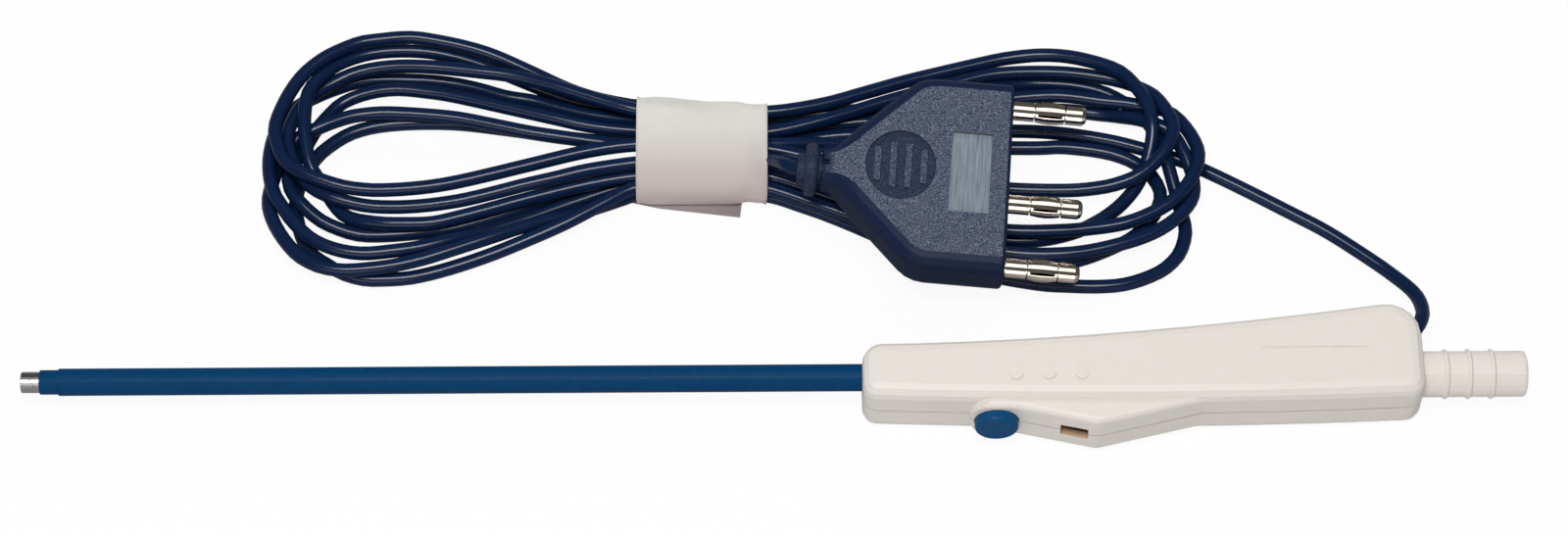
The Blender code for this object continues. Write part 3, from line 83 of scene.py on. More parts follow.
# %% Chosen bends of the cord
CORD = 3.0
LEAD = [
    (118.5, 7.65, 7.5), (121.0, 7.65, 7.5), (123.75, 7.65, 7.5), (127.45, 7.85, 7.5), (131.2, 9.8, 7.5),
    (133.1, 12.55, 7.1), (134.2, 16.45, 5.3), (133.2, 21.75, 3.2), (129.1, 27.05, 1.8), (123.4, 32.05, 1.6),
    (115.9, 37.85, 1.6), (108.3, 42.65, 1.6), (100.7, 47.35, 1.6), (93.0, 51.9, 1.6), (86.5, 55.3, 1.6),
    (78.3, 58.3, 1.6), (71.2, 60.4, 1.6), (60.8, 62.3, 1.6), (50.4, 62.9, 1.6), (35.8, 62.5, 1.6),
    (23.3, 61.9, 1.6), (10.8, 61.1, 1.8), (-0.7, 60.0, 1.8),
]
LEFT_ONE = [
    (-28.8, 68.1, 4.3), (-37.1, 69.9, 4.3), (-43.4, 72.1, 4.6), (-51.9, 76.4, 5.0), (-60.3, 80.1, 6.0),
    (-66.6, 81.9, 6.6), (-72.9, 83.1, 7.0), (-77.5, 83.5, 7.2), (-83.3, 82.6, 7.4), (-89.5, 80.7, 7.4),
    (-99.6, 72.8, 7.4), (-104.5, 62.6, 7.4), (-103.9, 56.0, 7.4), (-100.6, 50.6, 7.4), (-92.2, 46.7, 7.2),
    (-85.5, 45.7, 7.0), (-79.8, 45.8, 7.0), (-73.7, 46.4, 7.0), (-67.5, 47.5, 7.0), (-59.4, 49.6, 7.0),
    (-51.2, 51.9, 7.0), (-38.9, 55.2, 7.0), (-28.6, 56.7, 7.0),
]
LEFT_TWO = [
    (-28.9, 68.0, 1.8), (-39.3, 70.0, 1.8), (-47.8, 73.2, 2.0), (-52.0, 74.9, 2.6), (-58.9, 77.6, 3.8),
    (-64.6, 79.8, 4.2), (-70.3, 81.3, 4.5), (-75.1, 81.9, 4.9), (-81.0, 81.8, 5.3), (-86.6, 80.9, 5.5),
    (-91.7, 78.7, 5.8), (-95.1, 75.7, 6.1), (-98.9, 68.7, 6.6), (-98.1, 55.1, 5.6), (-95.6, 49.9, 4.6),
    (-92.3, 44.5, 4.0), (-88.7, 41.0, 4.2), (-82.8, 39.4, 4.4), (-77.7, 39.1, 4.4), (-71.5, 39.3, 4.4),
    (-65.4, 40.9, 4.4), (-59.3, 42.8, 4.4), (-51.2, 45.4, 4.4), (-38.9, 48.2, 4.4), (-28.6, 49.3, 4.4),
]
LEFT_THREE = [
    (-28.7, 65.7, 7.0), (-34.9, 67.5, 7.0), (-40.6, 69.5, 7.0), (-45.8, 71.4, 7.0), (-51.7, 73.3, 6.8),
    (-56.5, 74.6, 6.7), (-62.2, 75.5, 6.6), (-68.5, 76.5, 6.4), (-74.8, 77.3, 6.2), (-81.2, 77.7, 5.8),
    (-87.7, 77.2, 5.2), (-92.9, 75.6, 4.6), (-97.0, 72.9, 4.2), (-100.6, 67.5, 4.2), (-102.2, 60.7, 4.4),
    (-101.5, 54.7, 4.4), (-98.3, 49.3, 4.4), (-93.4, 45.7, 4.4), (-86.1, 43.5, 4.4), (-79.9, 43.1, 4.4),
    (-73.7, 43.3, 4.6), (-67.5, 43.9, 5.0), (-63.4, 44.6, 5.2), (-55.2, 46.3, 5.8), (-47.0, 48.1, 6.6),
    (-38.8, 50.3, 7.0), (-28.5, 52.1, 7.0),
]
LEFT_FOUR = [
    (-28.8, 65.8, 1.8), (-38.5, 67.6, 1.8), (-46.0, 69.5, 1.8), (-50.9, 71.1, 1.8), (-56.8, 72.2, 1.8),
    (-62.3, 74.0, 1.8), (-67.6, 75.4, 1.8), (-73.0, 76.2, 1.8), (-78.3, 76.5, 1.8), (-83.5, 76.6, 1.8),
    (-88.8, 76.1, 1.8), (-93.9, 74.2, 1.8), (-98.4, 71.9, 1.8), (-102.1, 69.0, 1.8), (-105.6, 61.9, 2.6),
    (-106.1, 53.1, 4.2), (-105.0, 46.6, 4.6), (-103.1, 43.2, 4.6), (-100.2, 39.1, 4.6),
    (-96.2, 35.4, 4.4), (-91.2, 33.0, 4.4), (-85.6, 32.0, 4.4), (-79.5, 32.5, 4.4), (-73.4, 33.5, 4.2),
    (-67.3, 35.3, 3.8), (-59.3, 38.4, 2.2), (-51.2, 41.2, 1.8), (-38.9, 45.2, 1.8), (-28.6, 48.2, 1.8),
]
LEFT_FIVE = [
    (-28.7, 61.9, 4.4), (-38.3, 63.0, 4.4), (-45.8, 64.9, 4.4), (-56.5, 68.0, 4.0), (-67.3, 71.1, 3.6),
    (-72.8, 72.3, 3.4), (-80.2, 73.3, 3.2), (-86.5, 72.8, 2.6), (-91.7, 71.1, 1.8), (-94.7, 68.3, 1.6),
    (-98.0, 63.7, 1.6), (-100.5, 57.6, 1.6), (-101.4, 51.5, 1.6), (-100.1, 46.0, 1.6), (-95.5, 41.4, 1.6),
    (-91.3, 39.4, 1.6), (-87.1, 38.3, 1.6), (-82.0, 38.2, 1.6), (-73.8, 38.8, 1.6), (-67.6, 39.6, 1.6),
    (-59.5, 41.8, 1.6), (-51.3, 44.3, 1.8), (-43.1, 47.1, 1.8), (-34.8, 49.7, 1.8), (-28.7, 50.9, 1.8),
]
LEFT_SIX = [
    (-28.7, 58.3, 4.4), (-34.9, 58.9, 4.2), (-43.2, 60.2, 4.2), (-51.6, 61.6, 4.4), (-59.9, 63.6, 4.4),
    (-68.3, 65.4, 4.4), (-80.8, 66.5, 4.4), (-87.1, 66.1, 4.4), (-91.2, 64.9, 4.6), (-96.2, 62.5, 4.6),
    (-101.4, 59.5, 3.6), (-104.4, 55.0, 2.6), (-105.9, 48.5, 2.6), (-105.6, 43.8, 3.6),
    (-103.5, 38.1, 4.4), (-99.9, 32.8, 4.4), (-96.7, 30.2, 4.4), (-93.6, 28.8, 4.4), (-89.5, 28.1, 4.4),
    (-85.4, 28.3, 4.4), (-79.3, 29.2, 4.4), (-73.3, 30.8, 4.4), (-67.2, 33.1, 4.4), (-59.1, 36.2, 4.2),
    (-51.1, 39.8, 3.4), (-38.9, 44.5, 1.8), (-28.6, 47.0, 1.8),
]
LEFT_SEVEN = [
    (-28.8, 60.0, 1.8), (-43.4, 61.8, 1.6), (-55.9, 64.0, 1.6), (-68.5, 65.7, 1.6), (-81.0, 65.5, 1.6),
    (-89.3, 63.6, 1.6), (-95.3, 59.5, 1.6), (-98.3, 55.9, 1.6), (-100.6, 51.7, 1.6), (-101.1, 47.2, 1.6),
    (-100.3, 42.6, 1.6), (-98.4, 36.8, 1.6), (-96.2, 33.5, 1.6), (-93.0, 31.1, 1.6), (-89.8, 29.0, 1.6),
    (-85.6, 27.6, 1.6), (-82.6, 27.4, 1.6), (-77.5, 27.6, 1.6), (-73.4, 28.3, 1.6), (-67.3, 30.0, 1.8),
    (-59.2, 32.8, 2.4), (-51.0, 36.4, 3.0), (-42.9, 40.3, 3.6), (-34.7, 44.3, 4.2), (-28.5, 46.9, 4.4),
]
RIGHT_ONE = [
    (-0.6, 65.4, 4.4), (10.8, 67.9, 4.4), (19.2, 70.7, 4.4), (27.6, 73.5, 4.4), (33.9, 75.3, 4.4),
    (44.5, 78.0, 4.6), (50.8, 79.3, 4.8), (58.1, 79.6, 5.4), (65.3, 78.1, 6.4), (73.5, 74.6, 7.2),
    (77.5, 70.6, 7.4), (80.2, 65.9, 7.4), (81.1, 60.9, 6.8), (80.5, 56.2, 5.0), (79.0, 51.8, 2.6),
    (77.1, 48.5, 1.8), (74.4, 45.2, 1.6), (71.6, 42.6, 1.6), (67.8, 40.0, 1.6), (63.0, 37.7, 1.6),
    (55.7, 36.0, 1.6), (47.5, 36.1, 1.6), (35.3, 38.3, 1.6), (23.0, 42.5, 1.6), (10.7, 47.5, 1.8),
    (-0.7, 51.4, 1.8),
]
RIGHT_TWO = [
    (-0.6, 61.5, 4.4), (10.8, 64.1, 4.4), (23.4, 68.3, 4.2), (36.0, 72.1, 4.0), (48.6, 74.8, 4.0),
    (61.2, 75.5, 4.2), (71.6, 73.8, 4.4), (77.6, 70.5, 5.6), (81.4, 65.8, 7.2), (84.0, 59.9, 7.6),
    (83.2, 55.7, 7.4), (80.2, 51.6, 6.6), (76.6, 48.8, 6.0), (72.4, 47.3, 5.4), (68.3, 46.7, 4.8),
    (62.2, 46.4, 4.4), (51.9, 46.8, 4.2), (39.5, 48.0, 4.2), (27.2, 50.1, 4.4), (14.8, 52.4, 5.2),
    (6.6, 53.8, 6.6), (-0.7, 55.3, 7.0),
]
RIGHT_THREE = [
    (-0.6, 65.8, 1.8), (10.8, 67.2, 1.8), (23.4, 68.9, 1.8), (36.0, 70.5, 1.8), (50.6, 70.4, 3.4),
    (61.0, 69.9, 4.4), (71.3, 67.7, 4.6), (78.5, 66.7, 4.6), (83.7, 65.7, 4.2), (87.1, 61.6, 4.0),
    (89.0, 55.7, 4.2), (88.3, 50.0, 4.8), (86.4, 45.8, 5.0), (83.6, 42.7, 5.0), (79.3, 40.2, 4.8),
    (74.1, 38.2, 4.6), (68.0, 37.2, 4.4), (59.7, 36.5, 4.4), (49.5, 36.6, 4.4), (35.2, 38.6, 4.4),
    (22.9, 41.5, 4.4), (10.6, 44.7, 4.4), (-0.7, 48.4, 4.4),
]
RIGHT_FOUR = [
    (-0.7, 63.4, 1.8), (10.8, 64.3, 1.8), (23.4, 65.8, 1.6), (35.9, 67.2, 1.6), (50.6, 68.3, 1.6),
    (61.0, 68.5, 1.6), (69.3, 67.3, 1.8), (74.4, 65.7, 3.2), (78.4, 63.3, 4.6), (82.4, 60.9, 4.4),
    (85.5, 59.1, 3.4), (89.3, 53.4, 1.6), (89.2, 48.0, 2.4), (88.1, 44.6, 3.0), (85.1, 40.0, 4.2),
    (81.2, 36.7, 4.6), (77.0, 34.6, 4.6), (71.9, 32.9, 4.6), (65.7, 31.5, 4.4), (59.5, 30.8, 4.4),
    (51.4, 31.0, 4.2), (39.2, 33.0, 4.2), (26.9, 36.4, 4.2), (14.7, 41.3, 4.4), (6.5, 44.5, 4.4),
    (-0.7, 46.2, 4.4),
]
RIGHT_FIVE = [
    (-0.7, 58.1, 4.4), (10.8, 58.6, 3.0), (23.3, 59.2, 1.6), (35.7, 58.8, 1.6), (48.2, 58.7, 1.6),
    (56.5, 58.6, 1.6), (60.7, 58.8, 1.6), (64.8, 58.4, 1.6), (69.0, 57.7, 1.6), (72.7, 56.6, 1.6),
    (76.3, 54.7, 1.6), (79.5, 51.5, 1.6), (81.4, 47.6, 1.6), (81.0, 44.0, 1.6), (78.5, 39.7, 1.6),
    (74.2, 35.7, 1.6), (65.8, 31.7, 1.6), (59.7, 30.5, 1.6), (49.4, 31.1, 1.6), (35.2, 35.0, 1.6),
    (22.9, 40.1, 1.6), (10.6, 45.8, 1.8), (-0.7, 49.5, 1.8),
]
RIGHT_SIX = [
    (-0.7, 57.3, 1.8), (10.8, 58.1, 2.6), (23.2, 61.1, 4.4), (35.8, 66.8, 4.2), (50.7, 73.6, 1.8),
    (61.3, 74.4, 1.6), (69.6, 72.9, 1.6), (74.7, 70.1, 1.6), (78.7, 66.6, 1.6), (81.6, 61.4, 2.4),
    (83.0, 55.5, 4.5), (84.0, 51.1, 4.2), (85.5, 45.3, 3.0), (86.9, 38.8, 1.8), (85.8, 33.9, 1.6),
    (84.1, 31.1, 1.6), (81.3, 28.5, 1.6), (77.1, 26.4, 1.6), (72.7, 25.1, 1.6), (67.6, 24.7, 1.6),
    (61.5, 24.9, 1.6), (55.4, 25.4, 1.6), (45.2, 27.6, 1.6), (35.1, 31.2, 1.6), (24.9, 36.2, 1.6),
    (14.7, 42.0, 1.6), (6.5, 45.3, 1.8), (-0.7, 47.6, 1.8),
]
TAIL = [
    (-8.0, 53.0, 7.3), (-5.0, 52.7, 7.7), (-2.2, 51.8, 8.8), (0.2, 50.3, 10.7), (1.9, 48.5, 12.9),
    (3.4, 46.8, 14.5), (5.2, 45.6, 15.35), (8.0, 45.15, 15.2),
]
print("places of the lead:", len(LEAD), "and of the tail:", len(TAIL))

# %% [markdown]
# The bends are joined in the order in which the cord runs, so that it leaves one bend, passes through the
# paper band and enters the next bend. Two places are added inside the band for each passage, because a
# smooth curve needs evenly spread places.

# %% Join the bends into one path
WINDING = [
    (LEFT_TWO, 1), (RIGHT_THREE, -1), (LEFT_ONE, 1), (RIGHT_TWO, -1), (LEFT_FIVE, 1), (RIGHT_ONE, -1),
    (LEFT_FOUR, 1), (RIGHT_FIVE, -1), (LEFT_SIX, 1), (RIGHT_SIX, -1), (LEFT_SEVEN, 1), (RIGHT_FOUR, -1),
    (LEFT_THREE, 1), (TAIL, 1),
]
SPACING = 2.0
FINE_STEPS = 12


def join_bends(first, others):
    """One list of places, with two extra ones on each passage through the band."""
    path = [np.array(place, float) for place in first]
    for bend, way in others:
        places = [np.array(place, float) for place in bend[::way]]
        start = path[-1]
        path += [start + (places[0] - start) * share for share in (1 / 3, 2 / 3)]
        path += places
    return np.array(path)


def smooth_places(chosen, spacing):
    """Places a steady distance apart on a smooth curve through the chosen ones."""
    ends = np.vstack([2 * chosen[0] - chosen[1], chosen, 2 * chosen[-1] - chosen[-2]])
    fine = []
    for index in range(len(chosen) - 1):
        p0, p1, p2, p3 = ends[index:index + 4]
        for t in np.linspace(0, 1, FINE_STEPS, endpoint=False):
            bend = (2 * p0 - 5 * p1 + 4 * p2 - p3) * t ** 2 + (3 * p1 - p0 - 3 * p2 + p3) * t ** 3
            fine.append((2 * p1 + (p2 - p0) * t + bend) / 2)
    fine.append(chosen[-1])
    return even_places(np.array(fine), spacing)


def even_places(fine, spacing):
    """The same curve with its places a steady distance apart."""
    steps = np.linalg.norm(np.diff(fine, axis=0), axis=1)
    along = np.concatenate([[0], np.cumsum(steps)])
    wanted = np.linspace(0, along[-1], round(along[-1] / spacing) + 1)
    return np.stack([np.interp(wanted, along, fine[:, axis]) for axis in range(3)], axis=1)


chosen_path = smooth_places(join_bends(LEAD, WINDING), SPACING)
print("places:", len(chosen_path), "length:", round(SPACING * (len(chosen_path) - 1)), "mm")

# %% [markdown]
# Settling is done with plain arithmetic on the places, which gives the same result each time. In each round
# close strands push apart, each place is drawn gently back to where it was chosen, and its neighbours on the
# cord share the push, so the cord bends smoothly as a real one does. Nothing goes below the table, through
# the plug above the hank or out of the band.

# %% Settle the cord
# the plug that lies on the hank, in millimetres and degrees
PLUG_MIDDLE = (49.0, 42.25, 13.0)
PLUG_TILT = 3.0
PLUG_PITCH = 3.2
PLUG_YAW = -4.2
PLUG_UNDERSIDE = 6.6
PLUG_SLOPES = (-math.tan(math.radians(PLUG_PITCH)), math.tan(math.radians(PLUG_TILT)))
PLUG_ENDS = (8, 52)
PLUG_GAP = 0.1
# the room inside the paper band and above the table
BAND_ENDS = (-30, -1.5)
BAND_BOX = (47.3, 67.9, 7.3)
BAND_GAP = 0.3
TABLE_GAP = 0.05
# how many places stay still at the ends, and how the others are moved
STILL_START = 50
STILL_END = 9
ROUNDS = 260
CALM_ROUNDS = 30
SEARCH_EVERY = 10
SEARCH_REACH = CORD * 1.7
CLEAR_OF_EACH_OTHER = CORD * 1.01
PUSH_SHARE = 0.35
LONGEST_PUSH = 0.5
SMOOTHING = 0.3
CALM_SMOOTHING = 0.1
PULL_BACK = 0.996
LEAST_DISTANCE = 0.05
LEAST_SHIFT = 1e-9
BLOCK = 400
NEIGHBOURS = 5


def close_pairs(path, reach):
    """Pairs of places that lie near each other but not next to each other on the cord."""
    first_list = []
    second_list = []
    for start in range(0, len(path), BLOCK):
        block = path[start:start + BLOCK]
        gaps = block[:, None, :] - path[None, :, :]
        near = np.einsum("ijk,ijk->ij", gaps, gaps) < reach ** 2
        first, second = np.nonzero(near)
        first = first + start
        keep = second > first + NEIGHBOURS
        first_list.append(first[keep])
        second_list.append(second[keep])
    return np.concatenate(first_list), np.concatenate(second_list)


def settle(target):
    """Move the places until no two strands are in each other."""
    moved = np.zeros_like(target)
    last = len(target) - STILL_END
    for turn in range(ROUNDS):
        path = target + moved
        if turn % SEARCH_EVERY == 0:
            first, second = close_pairs(path, SEARCH_REACH)
        gap = path[second] - path[first]
        distance = np.linalg.norm(gap, axis=1)
        overlap = np.clip(CLEAR_OF_EACH_OTHER - distance, 0, None)
        push = overlap[:, None] * gap / np.maximum(distance, LEAST_DISTANCE)[:, None]
        shift = np.zeros_like(path)
        np.add.at(shift, first, -PUSH_SHARE * push)
        np.add.at(shift, second, PUSH_SHARE * push)
        size = np.linalg.norm(shift, axis=1)
        shift *= (np.minimum(size, LONGEST_PUSH) / np.maximum(size, LEAST_SHIFT))[:, None]
        moved += shift
        if turn < ROUNDS - CALM_ROUNDS:
            moved[1:-1] += SMOOTHING * ((moved[:-2] + moved[2:]) / 2 - moved[1:-1])
            moved *= PULL_BACK
        else:
            moved[1:-1] += CALM_SMOOTHING * ((moved[:-2] + moved[2:]) / 2 - moved[1:-1])
        moved[:STILL_START] = 0
        moved[last:] = 0
        path = target + moved
        roof = (PLUG_UNDERSIDE + PLUG_SLOPES[0] * (path[:, 0] - PLUG_MIDDLE[0])
                + PLUG_SLOPES[1] * (path[:, 1] - PLUG_MIDDLE[1]))
        roof -= CORD / 2 + PLUG_GAP
        under = (path[:, 0] > PLUG_ENDS[0]) & (path[:, 0] < PLUG_ENDS[1])
        path[under, 2] = np.minimum(path[under, 2], roof[under])
        inside = (path[:, 0] > BAND_ENDS[0]) & (path[:, 0] < BAND_ENDS[1])
        inside[last:] = False
        path[inside, 1] = np.clip(path[inside, 1], BAND_BOX[0], BAND_BOX[1])
        path[inside, 2] = np.clip(path[inside, 2], CORD / 2 + BAND_GAP, BAND_BOX[2])
        path[:, 2] = np.maximum(path[:, 2], CORD / 2 + TABLE_GAP)
        moved = path - target
    return target + moved


settled_path = settle(chosen_path)
first, second = close_pairs(settled_path, CORD)
nearest = np.linalg.norm(settled_path[first] - settled_path[second], axis=1)
print("close pairs left:", len(nearest), "closest:", round(float(nearest.min()), 2) if len(nearest) else CORD)

# %% [markdown]
# A curve with a round section makes the cord, with a flat cap at each end that the clamp and the plug hide.
# Blender adds each point's radius to a curve's box, so the radius is set there and the bevel depth is 1.

# %% Make the cord
ROUNDNESS = 3
PINS = ["near_pin", "middle_pin", "far_pin"]
CAGES = ["near_pin_cage", "middle_pin_cage", "far_pin_cage"]


def curve_piece(name, places, radius):
    """A round cord through places in millimetres."""
    data = bpy.data.curves.new(name, "CURVE")
    data.dimensions = "3D"
    data.bevel_depth = 1.0
    data.bevel_resolution = ROUNDNESS
    data.use_fill_caps = True
    spline = data.splines.new("POLY")
    spline.points.add(len(places) - 1)
    for point, place in zip(spline.points, places):
        point.co = (place[0] * MM, place[1] * MM, place[2] * MM, 1)
        point.radius = radius * MM
    spline.use_smooth = True
    piece = bpy.data.objects.new(name, data)
    bpy.context.scene.collection.objects.link(piece)
    return piece


cord = curve_piece("cord", settled_path, CORD / 2)
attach(cord, "handpiece")
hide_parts("cord_lead", "cord_hank", "cord_tail")

# %% [markdown]
# The paper band is a strip wrapped tightly round the middle of the hank. A plain tube could stand for it, but
# paper that is pulled tight bends round the outermost strands and runs straight between them. So the outline
# is measured from the cord at several places along the band: in each direction the strand that reaches
# furthest carries the paper.

# %% Measure the outline of the paper
BAND_LEFT = -28.7
BAND_RIGHT = -1.5
BAND_STATIONS = 16
BAND_OFFSETS = (-1.4, -0.7, 0.0, 0.7, 1.4)
BAND_RADIUS = CORD / 2 + 0.35
OUTLINE_PLACES = 72
PAPER = 0.2
TAIL_PLACES = 6


def strands_at(path, x):
    """Where the cord crosses one plane, as y and z."""
    before = path[:-1, 0] - x
    after = path[1:, 0] - x
    crossing = np.nonzero(before * after < 0)[0]
    share = (before[crossing] / (before[crossing] - after[crossing]))[:, None]
    return (path[crossing] + share * (path[crossing + 1] - path[crossing]))[:, 1:]


def tight_outline(centres, reach):
    """The outline of paper pulled tight round strands, in evenly spread places."""
    angles = np.linspace(-math.pi, math.pi, 361)
    directions = np.stack([np.cos(angles), np.sin(angles)], axis=1)
    furthest = np.argmax(centres @ directions.T, axis=0)
    outline = centres[furthest] + reach * directions
    outline[:, 1] = np.maximum(outline[:, 1], PAPER)
    return even_ring(outline, OUTLINE_PLACES)


def even_ring(outline, count):
    """The same closed outline with evenly spread places."""
    steps = np.linalg.norm(np.diff(outline, axis=0), axis=1)
    along = np.concatenate([[0], np.cumsum(steps)])
    wanted = np.linspace(0, along[-1], count, endpoint=False)
    return np.stack([np.interp(wanted, along, outline[:, axis]) for axis in range(2)], axis=1)


hank_path = settled_path[:-TAIL_PLACES]
stations = np.linspace(BAND_LEFT, BAND_RIGHT, BAND_STATIONS)
outlines = []
for x in stations:
    near = np.vstack([strands_at(hank_path, x + offset) for offset in BAND_OFFSETS])
    outlines.append(tight_outline(near, BAND_RADIUS))
print("strands in the band:", len(strands_at(hank_path, stations[0])))

# %% [markdown]
# The strip is extruded from outline to outline along the band. Its right edge is bowed outwards a little
# towards the top, because that edge looks bowed from above. A modifier gives the paper its thickness last, so
# that the strip itself stays one simple sheet.

# %% Make the paper band
EDGE_BOW = 0.5
BAND_TOP = 9


def link_mesh(name, bm):
    """Put a finished bmesh into the scene."""
    data = bpy.data.meshes.new(name)
    bm.to_mesh(data)
    bm.free()
    data.shade_smooth()
    piece = bpy.data.objects.new(name, data)
    bpy.context.scene.collection.objects.link(piece)
    return piece


def band_strip(name):
    """A strip extruded from outline to outline, with its right edge bowed a little."""
    bm = bmesh.new()
    ring = [bm.verts.new((0, 0, 0)) for place in outlines[0]]
    edges = [bm.edges.new((ring[index - 1], ring[index])) for index in range(len(ring))]
    for station, (x, outline) in enumerate(zip(stations, outlines)):
        if station > 0:
            grown = bmesh.ops.extrude_edge_only(bm, edges=edges)["geom"]
            edges = [item for item in grown if isinstance(item, bmesh.types.BMEdge) and item.is_boundary]
            partner = {}
            for vert in [item for item in grown if isinstance(item, bmesh.types.BMVert)]:
                for edge in vert.link_edges:
                    if edge.other_vert(vert) in ring:
                        partner[edge.other_vert(vert)] = vert
            ring = [partner[vert] for vert in ring]
        bow = EDGE_BOW * station / (BAND_STATIONS - 1)
        for vert, (y, z) in zip(ring, outline):
            vert.co = Vector((x + bow * math.sin(math.pi / 2 * min(z / BAND_TOP, 1)), y, z)) * MM
    bmesh.ops.smooth_vert(bm, verts=bm.verts, factor=0.3, use_axis_x=False, use_axis_y=True, use_axis_z=True)
    bmesh.ops.recalc_face_normals(bm, faces=bm.faces)
    return link_mesh(name, bm)


def paper_wall(piece, levels):
    """Round a paper piece and give it its thickness."""
    if levels:
        smooth = piece.modifiers.new("round", "SUBSURF")
        smooth.levels = levels
        smooth.render_levels = levels
    wall = piece.modifiers.new("paper", "SOLIDIFY")
    wall.thickness = PAPER * MM
    wall.offset = 1


paper_band = band_strip("band_paper_strip")
paper_wall(paper_band, 1)
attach(paper_band, "handpiece")
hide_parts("paper_band")
print("paper band:", len(paper_band.data.polygons), "faces before rounding")

# %% [markdown]
# The loose end of the strip comes out from under the hank on the near side. It lies almost flat, with its free
# edge cut square, and its colour is painted a little darker, as painted shade for the shadow of the hank over
# it.

# %% Make the loose end of the paper
FLAP = [(-31.4, 46.9, 0.3), (-24.0, 45.0, 0.35), (-6.9, 42.6, 0.5), (-6.3, 48.0, 0.3), (-28.5, 49.5, 0.3)]


def flap_sheet(name):
    """A flat end of paper from its outline."""
    bm = bmesh.new()
    corners = [bm.verts.new(Vector(place) * MM) for place in FLAP]
    bm.faces.new(corners)
    bmesh.ops.triangulate(bm, faces=bm.faces)
    bmesh.ops.recalc_face_normals(bm, faces=bm.faces)
    return link_mesh(name, bm)


paper_flap = flap_sheet("band_paper_end")
paper_wall(paper_flap, 0)
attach(paper_flap, "handpiece")
print("loose end made")

# %% [markdown]
# The finishes come next. Moulded plastic is never quite flat: a fine grain and a faint unevenness are
# shared by several pieces, so they are one shader node group with its own inputs, used again with other
# values. The small helpers after it make masks from numbers and mix colours by them.

# %% Shared surface effects
MASK_EDGE = 0.00002


def new_group(name, inputs, outputs):
    """An empty node group with named sockets."""
    group = bpy.data.node_groups.new(name, "ShaderNodeTree")
    for label, kind, value in inputs:
        socket = group.interface.new_socket(name=label, in_out="INPUT", socket_type=kind)
        socket.default_value = value
    for label, kind in outputs:
        group.interface.new_socket(name=label, in_out="OUTPUT", socket_type=kind)
    start = group.nodes.new("NodeGroupInput")
    end = group.nodes.new("NodeGroupOutput")
    return group, start, end


def moulded_grain_group():
    """Fine grain as a height and as a mask of specks, and a slow unevenness."""
    group, start, end = new_group(
        "moulded_grain",
        [("Grain Size", "NodeSocketFloat", 2500.0), ("Speck Amount", "NodeSocketFloat", 0.5)],
        [("Height", "NodeSocketFloat"), ("Specks", "NodeSocketFloat"), ("Unevenness", "NodeSocketFloat")],
    )
    place = group.nodes.new("ShaderNodeTexCoord")
    fine = group.nodes.new("ShaderNodeTexNoise")
    fine.inputs["Detail"].default_value = 3.0
    slow = group.nodes.new("ShaderNodeTexNoise")
    slow.inputs["Scale"].default_value = 60.0
    slow.inputs["Detail"].default_value = 2.0
    specks = group.nodes.new("ShaderNodeMapRange")
    specks.inputs["From Min"].default_value = 0.46
    specks.inputs["From Max"].default_value = 0.68
    amount = group.nodes.new("ShaderNodeMath")
    amount.operation = "MULTIPLY"
    link = group.links.new
    link(place.outputs["Object"], fine.inputs["Vector"])
    link(place.outputs["Object"], slow.inputs["Vector"])
    link(start.outputs["Grain Size"], fine.inputs["Scale"])
    link(fine.outputs["Fac"], specks.inputs["Value"])
    link(specks.outputs["Result"], amount.inputs[0])
    link(start.outputs["Speck Amount"], amount.inputs[1])
    link(fine.outputs["Fac"], end.inputs["Height"])
    link(amount.outputs["Value"], end.inputs["Specks"])
    link(slow.outputs["Fac"], end.inputs["Unevenness"])
    return group


def step_mask(tree, value, low, high):
    """A mask that climbs from 0 to 1 between two values."""
    ramp = tree.nodes.new("ShaderNodeMapRange")
    ramp.inputs["From Min"].default_value = low
    ramp.inputs["From Max"].default_value = high
    tree.links.new(value, ramp.inputs["Value"])
    return ramp.outputs["Result"]


def arithmetic(tree, operation, first, second):
    """A Math node between two values, each a socket or a number."""
    node = tree.nodes.new("ShaderNodeMath")
    node.operation = operation
    for socket, value in zip(node.inputs, (first, second)):
        if isinstance(value, (int, float)):
            socket.default_value = value
        else:
            tree.links.new(value, socket)
    return node.outputs["Value"]


def inside_mask(tree, value, middle, half):
    """1 where a value is within half of its middle."""
    offset = arithmetic(tree, "ABSOLUTE", arithmetic(tree, "SUBTRACT", value, middle), 0.0)
    return step_mask(tree, offset, half + MASK_EDGE, half - MASK_EDGE)


def object_axes(tree):
    """The X, Y and Z of each place on a piece."""
    place = tree.nodes.new("ShaderNodeTexCoord")
    apart = tree.nodes.new("ShaderNodeSeparateXYZ")
    tree.links.new(place.outputs["Object"], apart.inputs["Vector"])
    return apart.outputs


def colour_mix(tree, factor, first, second):
    """A colour between two colours, each a socket or a value."""
    mix = tree.nodes.new("ShaderNodeMix")
    mix.data_type = "RGBA"
    tree.links.new(factor, mix.inputs["Factor"])
    for name, value in (("A", first), ("B", second)):
        if isinstance(value, tuple):
            mix.inputs[name].default_value = (*value, 1)
        else:
            tree.links.new(value, mix.inputs[name])
    return mix.outputs["Result"]


moulded_grain = moulded_grain_group()
print("group:", moulded_grain.name)

# %% [markdown]
# Each finish is a Principled shader. The group gives it a mixed colour, a slightly uneven roughness and a
# bump. What is the same all over, such as the strength of the reflection, is set on the shader itself.

# %% Helpers that make a finish
def new_material(name):
    """A material, its node tree and its Principled shader."""
    material = bpy.data.materials.new(name)
    material.use_nodes = True
    return material, material.node_tree, material.node_tree.nodes["Principled BSDF"]


def uneven_roughness(tree, value, low, high):
    """Let the roughness wander between two values."""
    rough = tree.nodes.new("ShaderNodeMapRange")
    rough.inputs["To Min"].default_value = low
    rough.inputs["To Max"].default_value = high
    tree.links.new(value, rough.inputs["Value"])
    tree.links.new(rough.outputs["Result"], tree.nodes["Principled BSDF"].inputs["Roughness"])


